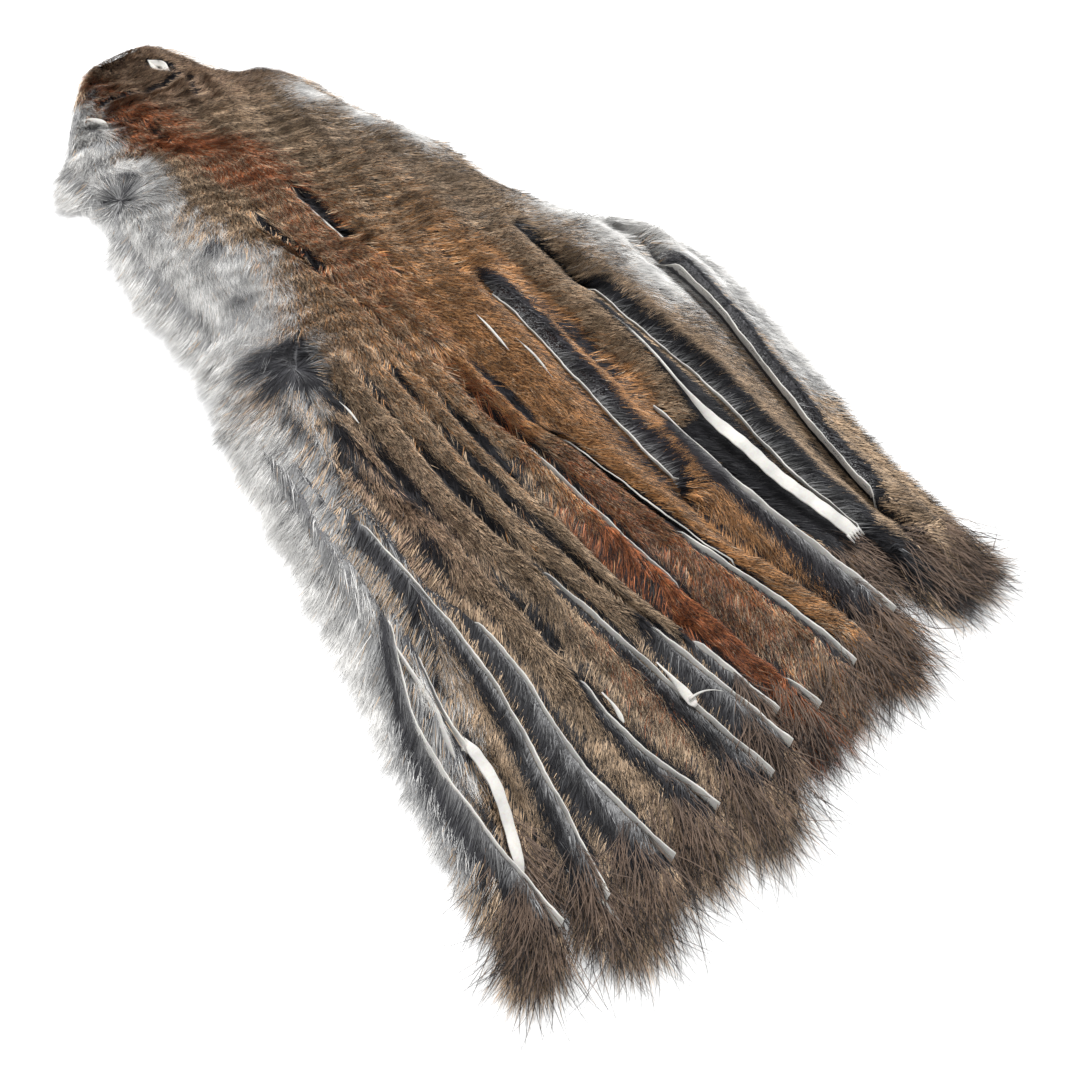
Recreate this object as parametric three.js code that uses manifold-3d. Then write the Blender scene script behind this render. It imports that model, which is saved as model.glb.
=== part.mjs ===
// A tanned pine squirrel skin, lying fur side up on a table.
// The hide is one piece from the nose to the hips. From the shoulders down it is cut lengthwise
// into narrow strips, which stay joined at the head end and have tipped over on their sides, so
// each strip is a ridge with its cut leather edge on one side and its hair falling to the other.
// Millimetres, +Z up, nose towards +Y, underside flat at z = 0.

import * as THREE from "three";
import { mergeVertices } from "three/addons/utils/BufferGeometryUtils.js";
import Module from "manifold-3d";

const wasm = await Module();
wasm.setup();

// Driving dimensions
const LEATHER_EDGE = 4.6; // height of a strip's cut leather edge, standing up
const RIM_HEIGHT = 1.3; // thickness of the fur at the outer rim
const CUT_WIDTH = 0.5; // space between two strips that lie side by side
const TAIL_CUT_WIDTH = 1.7; // the same space at the tail end, where the strips fan out
const CUT_RAMP = 9; // length over which an opening cut gets its full width
const GROOVE_DEPTH = 2.2; // depth of the furrow above a cut that is still closed
const FURROWS = { from: 24, to: -22 }; // y where the furrows begin, and where they are full
const FAN = { from: -60, to: -98 }; // y where the strips begin to fan out, and where they end
const NOSE_LUMPS = { from: 108, to: 95 }; // y over which the lumps grow behind the nose
const SHOULDER_Y = 20; // the station at which the columns of the strips begin
const LAST_ROOT_Y = -72; // every cut is open from here on
const ROW_PITCH = 3.1; // length of one row of faces, and width of one lock at the rim
const BODY_COLUMNS = 14; // faces across the uncut hide
const TAIL_ROWS = 6; // rows from the last root to the end of the leather
const LUMP_HEIGHT = 0.95; // half the height of the fur's lumps
const STRIP_LUMPS = { height: 0.6, squeeze: 1.6 }; // the same lumps on a strip: lower, narrower
const SECTION_HEIGHT = 7; // height of the fur for which the strips' sections are drawn
const CROWN_POWER = 3.4; // how square the hide's cross-section is
const END_HEIGHT = 0.75; // height of a strip at its end, as a share of its full height
const LOCK_LENGTH = 3.6; // how far a lock at the rim stands out
const LOCK_SWEEP = 3.4; // how far a lock's point lies tailwards of its root
const EYE = { x: 3.3, y: 97.2, halfLength: 2.1, halfWidth: 1.5, turn: -0.5 };

// The outline at the tips of the fur and the fur's height: a row per station, nose to hips
const OUTLINE = [
  { y: 108, left: -9.5, right: 7.5, height: 2.4 },
  { y: 103, left: -15, right: 10.5, height: 3.2 },
  { y: 98, left: -18.5, right: 12.5, height: 3.8 },
  { y: 92, left: -23, right: 14.5, height: 4.6 },
  { y: 86, left: -26.5, right: 19, height: 5.2 },
  { y: 80, left: -31, right: 26.5, height: 5.6 },
  { y: 74, left: -30.5, right: 28, height: 6 },
  { y: 66, left: -29, right: 29.5, height: 6.6 },
  { y: 55, left: -31.5, right: 33, height: 7.2 },
  { y: 44, left: -32.3, right: 37.3, height: 7.6 },
  { y: 32, left: -32, right: 38, height: 7.8 },
  { y: 20, left: -33, right: 42, height: 8 },
  { y: 10, left: -35.5, right: 47, height: 8 },
  { y: 0, left: -38, right: 53.5, height: 8 },
  { y: -10, left: -39.5, right: 56.3, height: 7.8 },
  { y: -20, left: -41, right: 56, height: 7.6 },
  { y: -40, left: -45, right: 53, height: 7.2 },
  { y: -60, left: -49.2, right: 48.5, height: 6.8 },
  { y: -80, left: -52.5, right: 47.5, height: 6.4 },
  { y: -100, left: -56, right: 43, height: 6 },
];

// The cuts, from the left to the right: a row for each, with the y of its root, down to which
// it is closed, and its x at every station
const STATIONS = [20, 0, -20, -40, -60, -80, -100];
const CUTS = [
  { root: -36, x: [-29.3, -32.3, -34, -35.8, -43.8, -46, -45.8] },
  { root: -58, x: [-27.2, -29.9, -31.8, -33.6, -39.4, -41, -43.6] },
  { root: -20, x: [-24.8, -27.2, -29.8, -29.7, -30.6, -34.5, -39.2] },
  { root: -45, x: [-21.6, -24, -26.2, -27.2, -26.4, -29, -27.9] },
  { root: -62, x: [-17, -18.4, -20, -20.2, -19.6, -21, -17.2] },
  { root: -44, x: [-12.3, -13, -14, -13.9, -11.8, -10.2, -8.2] },
  { root: -62, x: [-8, -8.1, -9, -8.8, -7, -4.8, -2.4] },
  { root: -68, x: [-5, -4.8, -5.2, -5.2, -4, -2, 0] },
  { root: -22, x: [-1.9, -1.1, 0.4, 0.9, 1.6, 2.9, 5.5] },
  { root: -26, x: [4.6, 4.3, 4, 6.6, 9.3, 13, 14.3] },
  { root: 8, x: [12.5, 16.4, 15.6, 14.5, 14.6, 17.8, 20.8] },
  { root: -32, x: [19.5, 22.8, 23.3, 22.6, 23, 24.7, 26] },
  { root: 10, x: [29, 31, 31.5, 32, 30.4, 31.4, 30.6] },
  { root: -2, x: [38, 45.6, 46.6, 42.9, 39.2, 37.2, 37.6] },
];

// The strips beside those cuts, from the left to the right: the way each one lies, the y of its
// leather's end, and how far the hair past that end is swept to the side and reaches tailwards
const STRIPS = [
  { lies: "left", end: -97, sweep: -8, reach: 9 },
  { lies: "turned", end: -87, sweep: -3, reach: 6 },
  { lies: "left", end: -98, sweep: -3, reach: 9 },
  { lies: "left", end: -99, sweep: -6, reach: 12 },
  { lies: "left", end: -97, sweep: -4, reach: 11 },
  { lies: "left", end: -98, sweep: -4, reach: 12 },
  { lies: "left", end: -96, sweep: -4, reach: 10 },
  { lies: "left", end: -91, sweep: -2, reach: 8 },
  { lies: "left", end: -94, sweep: -3, reach: 9 },
  { lies: "left", end: -92, sweep: -2, reach: 10 },
  { lies: "level", end: -93, sweep: 0, reach: 9 },
  { lies: "left", end: -89, sweep: 1, reach: 11 },
  { lies: "turned", end: -78, sweep: 1, reach: 7 },
  { lies: "right", end: -87, sweep: 5, reach: 11 },
  { lies: "right", end: -88, sweep: 3, reach: 8 },
];

// The top of a strip's cross-section for each way of lying, from its left side to its right
const SECTIONS = {
  left: [
    { across: 0, z: RIM_HEIGHT },
    { across: 0.4, z: 4.2 },
    { across: 0.8, z: 6 },
    { across: 1, z: LEATHER_EDGE },
  ],
  right: [
    { across: 0, z: LEATHER_EDGE },
    { across: 0.2, z: 6 },
    { across: 0.6, z: 4.2 },
    { across: 1, z: RIM_HEIGHT },
  ],
  level: [
    { across: 0, z: 3.4 },
    { across: 0.3, z: 6.4 },
    { across: 0.7, z: 6.4 },
    { across: 1, z: 3.4 },
  ],
  turned: [
    { across: 0, z: 1.8 },
    { across: 0.4, z: 4.8 },
    { across: 0.75, z: 4.8 },
    { across: 1, z: 2.4 },
  ],
};

// A value from 0 to 1 that is smooth at both ends as t goes from a to b
function ease(t, a, b) {
  const s = THREE.MathUtils.clamp((t - a) / (b - a), 0, 1);
  return s * s * (3 - 2 * s);
}

// A smooth value through a table's values at its stations, which fall from the nose to the hips
function through(stations, values, y) {
  let i = 0;
  while (i < stations.length - 2 && y < stations[i + 1]) i += 1;
  const step = (a, b) => (values[b] - values[a]) / (stations[b] - stations[a]);
  const slope = (k) => step(Math.max(k - 1, 0), Math.min(k + 1, stations.length - 1));
  const length = stations[i + 1] - stations[i];
  const t = THREE.MathUtils.clamp((y - stations[i]) / length, 0, 1);
  const [a, b] = [values[i], values[i + 1]];
  const [ma, mb] = [slope(i) * length, slope(i + 1) * length];
  return a + t * (ma + t * (3 * (b - a) - 2 * ma - mb + t * (2 * (a - b) + ma + mb)));
}

const OUTLINE_Y = OUTLINE.map((row) => row.y);
const outline = (column, y) => through(OUTLINE_Y, OUTLINE.map((row) => row[column]), y);
const rimLeft = (y) => outline("left", y) + LOCK_LENGTH;
const rimRight = (y) => outline("right", y) - LOCK_LENGTH;

// The lumps of the fur: a few crossing waves, uneven along and across the hide
function lump(x, y) {
  const along = Math.sin(y * 0.33 + 1.7 * Math.sin(x * 0.16));
  const across = Math.sin(x * 0.47 + 1.3 * Math.sin(y * 0.11 + 2));
  const small = Math.sin(x * 0.9 + y * 0.71) * Math.sin(y * 0.83 - x * 0.37);
  return LUMP_HEIGHT * (0.5 * along + 0.6 * across + 0.5 * small);
}

// The height of the uncut fur: full over the back, and falling to the rim on both sides
function bodyHeight(x, y) {
  const left = rimLeft(y);
  const right = rimRight(y);
  const side = Math.abs((2 * (x - left)) / (right - left) - 1);
  const crown = Math.sqrt(Math.max(0, 1 - side ** CROWN_POWER));
  const top = outline("height", y) + lump(x, y) * ease(y, NOSE_LUMPS.from, NOSE_LUMPS.to);
  return RIM_HEIGHT + (top - RIM_HEIGHT) * crown;
}

// How far the cuts show at a station: 0 on the shoulders and 1 where the strips lie apart
const cutShare = (y) => ease(y, FURROWS.from, FURROWS.to);

// Evenly spaced stations from one y to another, both included
function stationsBetween(from, to, count = Math.round((from - to) / ROW_PITCH)) {
  return Array.from({ length: count + 1 }, (_, i) => THREE.MathUtils.lerp(from, to, i / count));
}

// The stations that all strips share, and the last of them at which each cut is still closed
const SHARED_Y = stationsBetween(SHOULDER_Y, LAST_ROOT_Y);
const LAST_CLOSED_Y = CUTS.map((cut) => SHARED_Y.filter((y) => y >= cut.root).at(-1));

// How far the cut k is open at a station: 0 down to its root, then soon 1
const openShare = (k, y) => ease(y, LAST_CLOSED_Y[k], LAST_CLOSED_Y[k] - CUT_RAMP);

// The left and right side of the cut k at a station, as [x, z] pairs for the strips beside it
function cutSides(k, y) {
  const x = through(STATIONS, CUTS[k].x, y);
  const open = openShare(k, y);
  const fan = ease(y, FAN.from, FAN.to);
  const width = open * THREE.MathUtils.lerp(CUT_WIDTH, TAIL_CUT_WIDTH, fan);
  const closed = bodyHeight(x, y) - GROOVE_DEPTH * cutShare(y);
  const leftTop = SECTIONS[STRIPS[k].lies].at(-1).z;
  const rightTop = SECTIONS[STRIPS[k + 1].lies][0].z;
  return {
    left: [x - width / 2, THREE.MathUtils.lerp(closed, leftTop, open)],
    right: [x + width / 2, THREE.MathUtils.lerp(closed, rightTop, open)],
  };
}

// One row of points across the strip k: its top and its underside
function stripRow(k, y) {
  const first = k === 0;
  const last = k === STRIPS.length - 1;
  const left = first ? [rimLeft(y), RIM_HEIGHT] : cutSides(k - 1, y).right;
  const right = last ? [rimRight(y), RIM_HEIGHT] : cutSides(k, y).left;
  const section = SECTIONS[STRIPS[k].lies];
  const top = section.map((point, i) => {
    if (i === 0) return new THREE.Vector3(left[0], y, left[1]);
    if (i === section.length - 1) return new THREE.Vector3(right[0], y, right[1]);
    const x = THREE.MathUtils.lerp(left[0], right[0], point.across);
    const lumps = STRIP_LUMPS.height * lump(x * STRIP_LUMPS.squeeze, y);
    const z = (point.z * outline("height", y)) / SECTION_HEIGHT + lumps;
    return new THREE.Vector3(x, y, THREE.MathUtils.lerp(bodyHeight(x, y), z, cutShare(y)));
  });
  return { top, floor: [top[0], top.at(-1)].map(onFloor) };
}

const onFloor = (p) => new THREE.Vector3(p.x, p.y, 0);

// Faces, each three points in turn round an outward normal
const faces = [];
const face = (...points) => faces.push(points);

// Faces between two rows of points that both run from left to right, the first one nearer the
// nose, for a surface that looks up
function join(upper, lower) {
  const share = (row, i) => (row[i].x - row[0].x) / (row.at(-1).x - row[0].x);
  let i = 0;
  let j = 0;
  while (i < upper.length - 1 || j < lower.length - 1) {
    const upperDone = i === upper.length - 1;
    const lowerNext = j < lower.length - 1;
    if (upperDone || (lowerNext && share(lower, j + 1) <= share(upper, i + 1))) {
      face(upper[i], lower[j], lower[j + 1]);
      j += 1;
    } else {
      face(upper[i], lower[j], upper[i + 1]);
      i += 1;
    }
  }
}

// The same for an underside, which looks down
function joinFloor(upper, lower) {
  const start = faces.length;
  join(upper, lower);
  faces.slice(start).forEach((points) => points.reverse());
}

// A wall from the points a to b of the top's edge down to the floor, the solid lying to the left
// of the way from a to b
function wall(a, b) {
  face(a, onFloor(a), onFloor(b));
  face(a, onFloor(b), b);
}

// A lock of hair in place of that wall: four faces that meet in a point on the floor
function lock(a, b, tip) {
  face(a, tip, b);
  face(onFloor(a), onFloor(b), tip);
  face(a, onFloor(a), tip);
  face(b, tip, onFloor(b));
}

// An uneven share between 1 - spread and 1 + spread, the same each time for one number
const uneven = (n, spread) => 1 + spread * Math.sin(n * 12.9898 + 4.1 * Math.sin(n * 7.3));

// A lock on the rim from a to b, swept tailwards, on the left side (-1) or the right side (1)
function rimLock(a, b, side) {
  const n = a.y + 0.37 * side;
  const middle = a.clone().add(b).multiplyScalar(0.5);
  const out = side * LOCK_LENGTH * uneven(n, 0.45);
  const x = middle.x + out;
  const y = middle.y - LOCK_SWEEP * uneven(n * 1.7, 0.5);
  lock(a, b, new THREE.Vector3(x, y, 0));
}

// One row of points across the uncut hide
function bodyRow(y) {
  const left = rimLeft(y);
  const right = rimRight(y);
  const top = Array.from({ length: BODY_COLUMNS + 1 }, (_, i) => {
    const x = THREE.MathUtils.lerp(left, right, i / BODY_COLUMNS);
    const z = i % BODY_COLUMNS === 0 ? RIM_HEIGHT : bodyHeight(x, y);
    return new THREE.Vector3(x, y, z);
  });
  return { top, floor: [top[0], top.at(-1)].map(onFloor) };
}

// The row on which the uncut hide ends and the columns of the strips begin
function shoulderRow() {
  const rows = STRIPS.map((_, k) => stripRow(k, SHOULDER_Y));
  const joined = (key) => rows.flatMap((row, k) => (k === 0 ? row[key] : row[key].slice(1)));
  return { top: joined("top"), floor: joined("floor") };
}

// The uncut hide, from the nose to the shoulders
function makeHide() {
  const stations = stationsBetween(OUTLINE[0].y, SHOULDER_Y);
  const rows = stations.slice(0, -1).map(bodyRow);
  rows.push(shoulderRow());
  const nose = rows[0];
  nose.top.slice(1).forEach((p, i) => wall(p, nose.top[i]));
  nose.floor = nose.top.map(onFloor);
  rows.slice(1).forEach((row, i) => {
    const above = rows[i];
    join(above.top, row.top);
    joinFloor(above.floor, row.floor);
    rimLock(above.top[0], row.top[0], -1);
    rimLock(row.top.at(-1), above.top.at(-1), 1);
  });
}

// The side walls of the strip k between two rows: a rim with locks, or a side of an open cut
function makeSides(k, above, below) {
  const y = above.top[0].y;
  if (k === 0) rimLock(above.top[0], below.top[0], -1);
  else if (y <= LAST_CLOSED_Y[k - 1]) wall(above.top[0], below.top[0]);
  if (k === STRIPS.length - 1) rimLock(below.top.at(-1), above.top.at(-1), 1);
  else if (y <= LAST_CLOSED_Y[k]) wall(below.top.at(-1), above.top.at(-1));
}

// One strip: its rows down to the end of the leather, then its locks
function makeStrip(strip, k) {
  const tail = stationsBetween(LAST_ROOT_Y, strip.end, TAIL_ROWS);
  const rows = [...SHARED_Y, ...tail.slice(1)].map((y) => stripRow(k, y));
  const end = rows.at(-1);
  end.top.forEach((p) => {
    p.z *= END_HEIGHT;
  });
  end.floor = end.top.map(onFloor);
  rows.slice(1).forEach((row, i) => {
    join(rows[i].top, row.top);
    joinFloor(rows[i].floor, row.floor);
    makeSides(k, rows[i], row);
  });
  end.top.slice(1).forEach((b, i) => {
    const a = end.top[i];
    const reach = strip.reach * uneven(k * 5 + i, 0.3);
    const x = (a.x + b.x) / 2 + strip.sweep * uneven(k * 3 + i, 0.35);
    lock(a, b, new THREE.Vector3(x, strip.end - reach, 0));
  });
}

// A closed geometry as a solid that can be joined and cut
function toSolid(geometry) {
  const bare = geometry.clone();
  bare.deleteAttribute("normal");
  bare.deleteAttribute("uv");
  const merged = mergeVertices(bare, 1e-3);
  return new wasm.Manifold(
    new wasm.Mesh({
      numProp: 3,
      vertProperties: merged.attributes.position.array,
      triVerts: new Uint32Array(merged.index.array),
    }),
  );
}

function toGeometry(solid) {
  const mesh = solid.getMesh();
  const geometry = new THREE.BufferGeometry();
  geometry.setAttribute("position", new THREE.BufferAttribute(mesh.vertProperties, 3));
  geometry.setIndex(new THREE.BufferAttribute(mesh.triVerts, 1));
  geometry.computeVertexNormals();
  return geometry;
}

// The hole of the eye, an oval that goes right through the skin of the head
function makeEye() {
  const oval = new THREE.Shape();
  oval.absellipse(0, 0, EYE.halfLength, EYE.halfWidth, 0, Math.PI * 2, false, EYE.turn);
  const options = { depth: 20, bevelEnabled: false, curveSegments: 12 };
  return new THREE.ExtrudeGeometry(oval, options).translate(EYE.x, EYE.y, -5);
}

// The whole skin: hide, strips and locks in one closed surface, less the eye
function makeSkin() {
  makeHide();
  STRIPS.forEach(makeStrip);
  const surface = new THREE.BufferGeometry();
  surface.setFromPoints(faces.flat());
  const solid = toSolid(surface).subtract(toSolid(makeEye()));
  return toGeometry(solid);
}

const fur = new THREE.MeshStandardMaterial({ color: 0x6f5d4c, roughness: 0.95, metalness: 0 });

const skin = new THREE.Mesh(makeSkin(), fur);
skin.name = "skin";

const group = new THREE.Group();
group.add(skin);

export default group;
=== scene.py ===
# %% [markdown]
# # A pine squirrel skin, cut into strips
# The real object is a tanned skin about as long as a hand and a half, with its fur on. From the
# shoulders to the hips it is cut into narrow strips that have tipped over on their sides. Here the
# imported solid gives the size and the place, and Blender gives the leather, the woolly underfur and
# some six hundred thousand hairs. The skin could be one sculpted mesh with a fur texture, but a
# cut strip shows bare leather, dark hair roots and banded tips side by side, so real hairs are made.

import math

import bpy
import numpy as np
from mathutils.kdtree import KDTree
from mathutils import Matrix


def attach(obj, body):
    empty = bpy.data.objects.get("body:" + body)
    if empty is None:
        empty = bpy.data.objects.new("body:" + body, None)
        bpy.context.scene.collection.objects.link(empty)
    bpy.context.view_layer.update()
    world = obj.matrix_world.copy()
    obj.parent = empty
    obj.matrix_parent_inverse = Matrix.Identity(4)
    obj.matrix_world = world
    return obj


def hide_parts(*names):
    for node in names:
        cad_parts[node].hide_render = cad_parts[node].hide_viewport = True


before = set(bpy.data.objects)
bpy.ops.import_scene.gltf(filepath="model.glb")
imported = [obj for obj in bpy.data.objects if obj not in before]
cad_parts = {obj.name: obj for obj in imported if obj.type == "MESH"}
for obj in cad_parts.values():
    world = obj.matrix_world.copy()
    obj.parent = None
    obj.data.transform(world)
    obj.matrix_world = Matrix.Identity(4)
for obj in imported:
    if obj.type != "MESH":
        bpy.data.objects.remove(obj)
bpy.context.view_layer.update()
MM = 0.001

# %% [markdown]
# ## The camera and the light
# The skin lies on a white table and is seen from above its hip end, so the camera stands high and
# turned. The light is a wide soft one, because fur photographed in a bright room has no hard
# shadow: a pale sky all round, one large panel above and one smaller panel for the sheen.

# %% Camera
AIM = np.array((-8.0, -43.0, 0.0)) * MM
CAMERA = {"azimuth": -38.0, "elevation": 54.0, "distance": 0.252, "angle": 38.0}


def place_camera():
    azimuth, elevation = math.radians(CAMERA["azimuth"]), math.radians(CAMERA["elevation"])
    flat = math.cos(elevation)
    back = np.array((math.sin(azimuth) * flat, -math.cos(azimuth) * flat, math.sin(elevation)))
    data = bpy.data.cameras.new("camera")
    data.sensor_fit = "HORIZONTAL"
    data.angle = math.radians(CAMERA["angle"])
    data.clip_start = 0.01
    camera = bpy.data.objects.new("camera", data)
    camera.location = AIM + back * CAMERA["distance"]
    camera.rotation_euler = (math.pi / 2 - elevation, 0, azimuth)
    bpy.context.scene.collection.objects.link(camera)
    bpy.context.scene.camera = camera
    return camera


camera = place_camera()
print("camera at", [round(v, 3) for v in camera.location])

# %% Lights
bpy.context.scene.view_settings.view_transform = "Standard"


def soft_panel(name, place, size, power):
    data = bpy.data.lights.new(name, "AREA")
    data.size = size
    data.energy = power
    panel = bpy.data.objects.new(name, data)
    panel.location = place
    direction = np.array(place) - AIM
    flat = math.hypot(direction[0], direction[1])
    turn = math.atan2(direction[0], -direction[1])
    panel.rotation_euler = (math.atan2(flat, direction[2]), 0, turn)
    bpy.context.scene.collection.objects.link(panel)
    return panel


soft_panel("ceiling_light", (0.35, 0.3, 0.8), 0.4, 12.5)
soft_panel("side_light", (-0.6, -0.3, 0.5), 0.4, 2.0)
world = bpy.data.worlds.new("room")
bpy.context.scene.world = world
world.use_nodes = True
room = world.node_tree.nodes["Background"]
room.inputs["Color"].default_value = (1.0, 1.0, 1.0, 1.0)
room.inputs["Strength"].default_value = 0.5
print("two panels and a pale room")

# %% [markdown]
# ## Small helpers for materials
# A material is a tree of nodes. These helpers add a node with its values, join two sockets, and
# turn the colour values of a picture, which are what the eye names, into the linear ones that
# light is counted in.

# %% Node helpers


def linear(red, green, blue):
    def channel(v):
        return v / 12.92 if v <= 0.04045 else ((v + 0.055) / 1.055) ** 2.4

    return (channel(red), channel(green), channel(blue), 1.0)


def node(tree, kind, inputs=None, **settings):
    made = tree.nodes.new(kind)
    for key, value in settings.items():
        setattr(made, key, value)
    for key, value in (inputs or {}).items():
        if isinstance(value, bpy.types.NodeSocket):
            tree.links.new(value, made.inputs[key])
        else:
            made.inputs[key].default_value = value
    return made


def math_node(tree, operation, first, second):
    return node(tree, "ShaderNodeMath", {0: first, 1: second}, operation=operation).outputs[0]


def map_range(tree, value, start, stop, low=0.0, high=1.0, **settings):
    limits = {"From Min": start, "From Max": stop, "To Min": low, "To Max": high}
    return node(tree, "ShaderNodeMapRange", {"Value": value, **limits}, **settings).outputs[0]


def blend(tree, factor, first, second, kind="MIX"):
    inputs = {0: factor, 6: first, 7: second}
    return node(tree, "ShaderNodeMix", inputs, data_type="RGBA", blend_type=kind).outputs[2]


def new_material(name, roughness, specular=0.3):
    material = bpy.data.materials.new(name)
    material.use_nodes = True
    tree = material.node_tree
    shader = tree.nodes["Principled BSDF"]
    shader.inputs["Roughness"].default_value = roughness
    shader.inputs["Specular IOR Level"].default_value = specular
    return material, tree, shader


print("helpers ready")

# %% [markdown]
# ## The shape of the skin
# The outline, the cuts and the way each strip lies are the same sizes as in the solid, in
# millimetres: a row for each station from the nose to the hips. Each curve between two stations is
# smooth. Whatever is made later, leather, underfur or hair, asks these few functions where it is.

# %% The measurements
LEATHER_EDGE = 4.6  # height of a strip's cut leather edge, standing up
RIM_HEIGHT = 1.3  # height of the fur at the rim
CUT_RAMP = 9.0  # how far below its root a cut is fully open
GROOVE_DEPTH = 2.2  # how far the fur dips over a cut that is still closed
LUMP_HEIGHT = 0.95
STRIP_LUMPS = 0.6  # share of the lumps that a strip keeps
SECTION_HEIGHT = 7.0  # body height for which the sections of the strips are given
CROWN_POWER = 3.4  # how square the body's section is
LOCK_LENGTH = 3.6  # how far the locks of the solid stand out past the rim
STRIPS_TOP = 20.0  # the y above which the body is one crown

OUTLINE_Y = (108, 103, 98, 92, 86, 80, 74, 66, 55, 44, 32, 20, 10, 0, -10, -20, -40, -60, -80, -100)
OUTLINE = {
    "left": (-9.5, -15, -18.5, -23, -26.5, -31, -30.5, -29, -31.5, -32.3, -32, -33, -35.5, -38,
             -39.5, -41, -45, -49.2, -52.5, -56),
    "right": (7.5, 10.5, 12.5, 14.5, 19, 26.5, 28, 29.5, 33, 37.3, 38, 42, 47, 53.5, 56.3, 56, 53,
              48.5, 47.5, 43),
    "height": (2.4, 3.2, 3.8, 4.6, 5.2, 5.6, 6, 6.6, 7.2, 7.6, 7.8, 8, 8, 8, 7.8, 7.6, 7.2, 6.8,
               6.4, 6),
}

STATIONS = (20, 0, -20, -40, -60, -80, -100)
CUTS = (
    {"root": -36, "x": (-29.3, -32.3, -34, -35.8, -43.8, -46, -45.8)},
    {"root": -58, "x": (-27.2, -29.9, -31.8, -33.6, -39.4, -41, -43.6)},
    {"root": -20, "x": (-24.8, -27.2, -29.8, -29.7, -30.6, -34.5, -39.2)},
    {"root": -45, "x": (-21.6, -24, -26.2, -27.2, -26.4, -29, -27.9)},
    {"root": -62, "x": (-17, -18.4, -20, -20.2, -19.6, -21, -17.2)},
    {"root": -44, "x": (-12.3, -13, -14, -13.9, -11.8, -10.2, -8.2)},
    {"root": -62, "x": (-8, -8.1, -9, -8.8, -7, -4.8, -2.4)},
    {"root": -68, "x": (-5, -4.8, -5.2, -5.2, -4, -2, 0)},
    {"root": -22, "x": (-1.9, -1.1, 0.4, 0.9, 1.6, 2.9, 5.5)},
    {"root": -26, "x": (4.6, 4.3, 4, 6.6, 9.3, 13, 14.3)},
    {"root": 8, "x": (12.5, 16.4, 15.6, 14.5, 14.6, 17.8, 20.8)},
    {"root": -32, "x": (19.5, 22.8, 23.3, 22.6, 23, 24.7, 26)},
    {"root": 10, "x": (29, 31, 31.5, 32, 30.4, 31.4, 30.6)},
    {"root": -2, "x": (38, 45.6, 46.6, 42.9, 39.2, 37.2, 37.6)},
)
# Where the leather of each strip ends, and how far its hair is swept sideways and reaches on
STRIP_ENDS = (
    (-97, -8, 9), (-87, -3, 13), (-98, -3, 9), (-99, -6, 12), (-97, -4, 11), (-98, -4, 12),
    (-96, -4, 10), (-91, -2, 8), (-94, -3, 9), (-92, -2, 10), (-93, 0, 9), (-89, 1, 11),
    (-78, 1, 13), (-87, 5, 11), (-88, 3, 8),
)
ENDS, SWEEPS, REACHES = np.array(STRIP_ENDS, float).T
# A cut edge of leather that stands up and shows: the cut it is on, the side to which its hair
# falls, where it shows from and to, how wide the dark roots show beside it at both ends
EDGES = (
    {"cut": 0, "falls": "left", "from": -38, "to": -98, "roots": (1.8, 6.4)},
    {"cut": 1, "falls": "left", "from": -46, "to": -68, "roots": (1.0, 1.0)},
    {"cut": 2, "falls": "left", "from": -20, "to": -98, "roots": (2.6, 4.4)},
    {"cut": 3, "falls": "left", "from": -46, "to": -99, "roots": (1.6, 7.2)},
    {"cut": 4, "falls": "left", "from": -64, "to": -97, "roots": (1.0, 5.0)},
    {"cut": 5, "falls": "left", "from": -45, "to": -98, "roots": (0.8, 6.0)},
    {"cut": 6, "falls": "left", "from": -63, "to": -96, "roots": (2.0, 7.0)},
    {"cut": 7, "falls": "left", "from": -69, "to": -91, "roots": (2.0, 4.0)},
    {"cut": 8, "falls": "left", "from": -24, "to": -66, "roots": (0.4, 0.6)},
    {"cut": 8, "falls": "left", "from": -82, "to": -94, "roots": (1.0, 1.6)},
    {"cut": 9, "falls": "right", "from": -26, "to": -68, "roots": (0.7, 0.7)},
    {"cut": 9, "falls": "left", "from": -52, "to": -92, "roots": (1.8, 2.6)},
    {"cut": 10, "falls": "right", "from": 9, "to": -50, "roots": (3.6, 4.0)},
    {"cut": 11, "falls": "left", "from": -36, "to": -89, "roots": (2.4, 6.2)},
    {"cut": 12, "falls": "right", "from": -2, "to": -75, "roots": (3.2, 4.4)},
    {"cut": 13, "falls": "right", "from": -6, "to": -71, "roots": (2.0, 3.4)},
)
print(len(CUTS), "cuts and", len(EDGES), "standing edges")

# %% Smooth curves through the tables


def ease(t, start, stop):
    s = np.clip((t - start) / (stop - start), 0, 1)
    return s * s * (3 - 2 * s)


def mix(a, b, share):
    return a + (b - a) * share


def through(stations, values, y):
    stations, values = np.array(stations, float), np.array(values, float)
    y = np.asarray(y, float)
    last = len(stations) - 1
    i = np.clip(np.searchsorted(-stations, -y, side="right") - 1, 0, last - 1)
    before, after = np.maximum(np.arange(last + 1) - 1, 0), np.minimum(np.arange(last + 1) + 1, last)
    slope = (values[after] - values[before]) / (stations[after] - stations[before])
    length = stations[i + 1] - stations[i]
    t = np.clip((y - stations[i]) / length, 0, 1)
    a, b, ma, mb = values[i], values[i + 1], slope[i] * length, slope[i + 1] * length
    return a + t * (ma + t * (3 * (b - a) - 2 * ma - mb + t * (2 * (a - b) + ma + mb)))


def outline(column, y):
    return through(OUTLINE_Y, OUTLINE[column], y)


def rim_left(y):
    return outline("left", y) + LOCK_LENGTH


def rim_right(y):
    return outline("right", y) - LOCK_LENGTH


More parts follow.
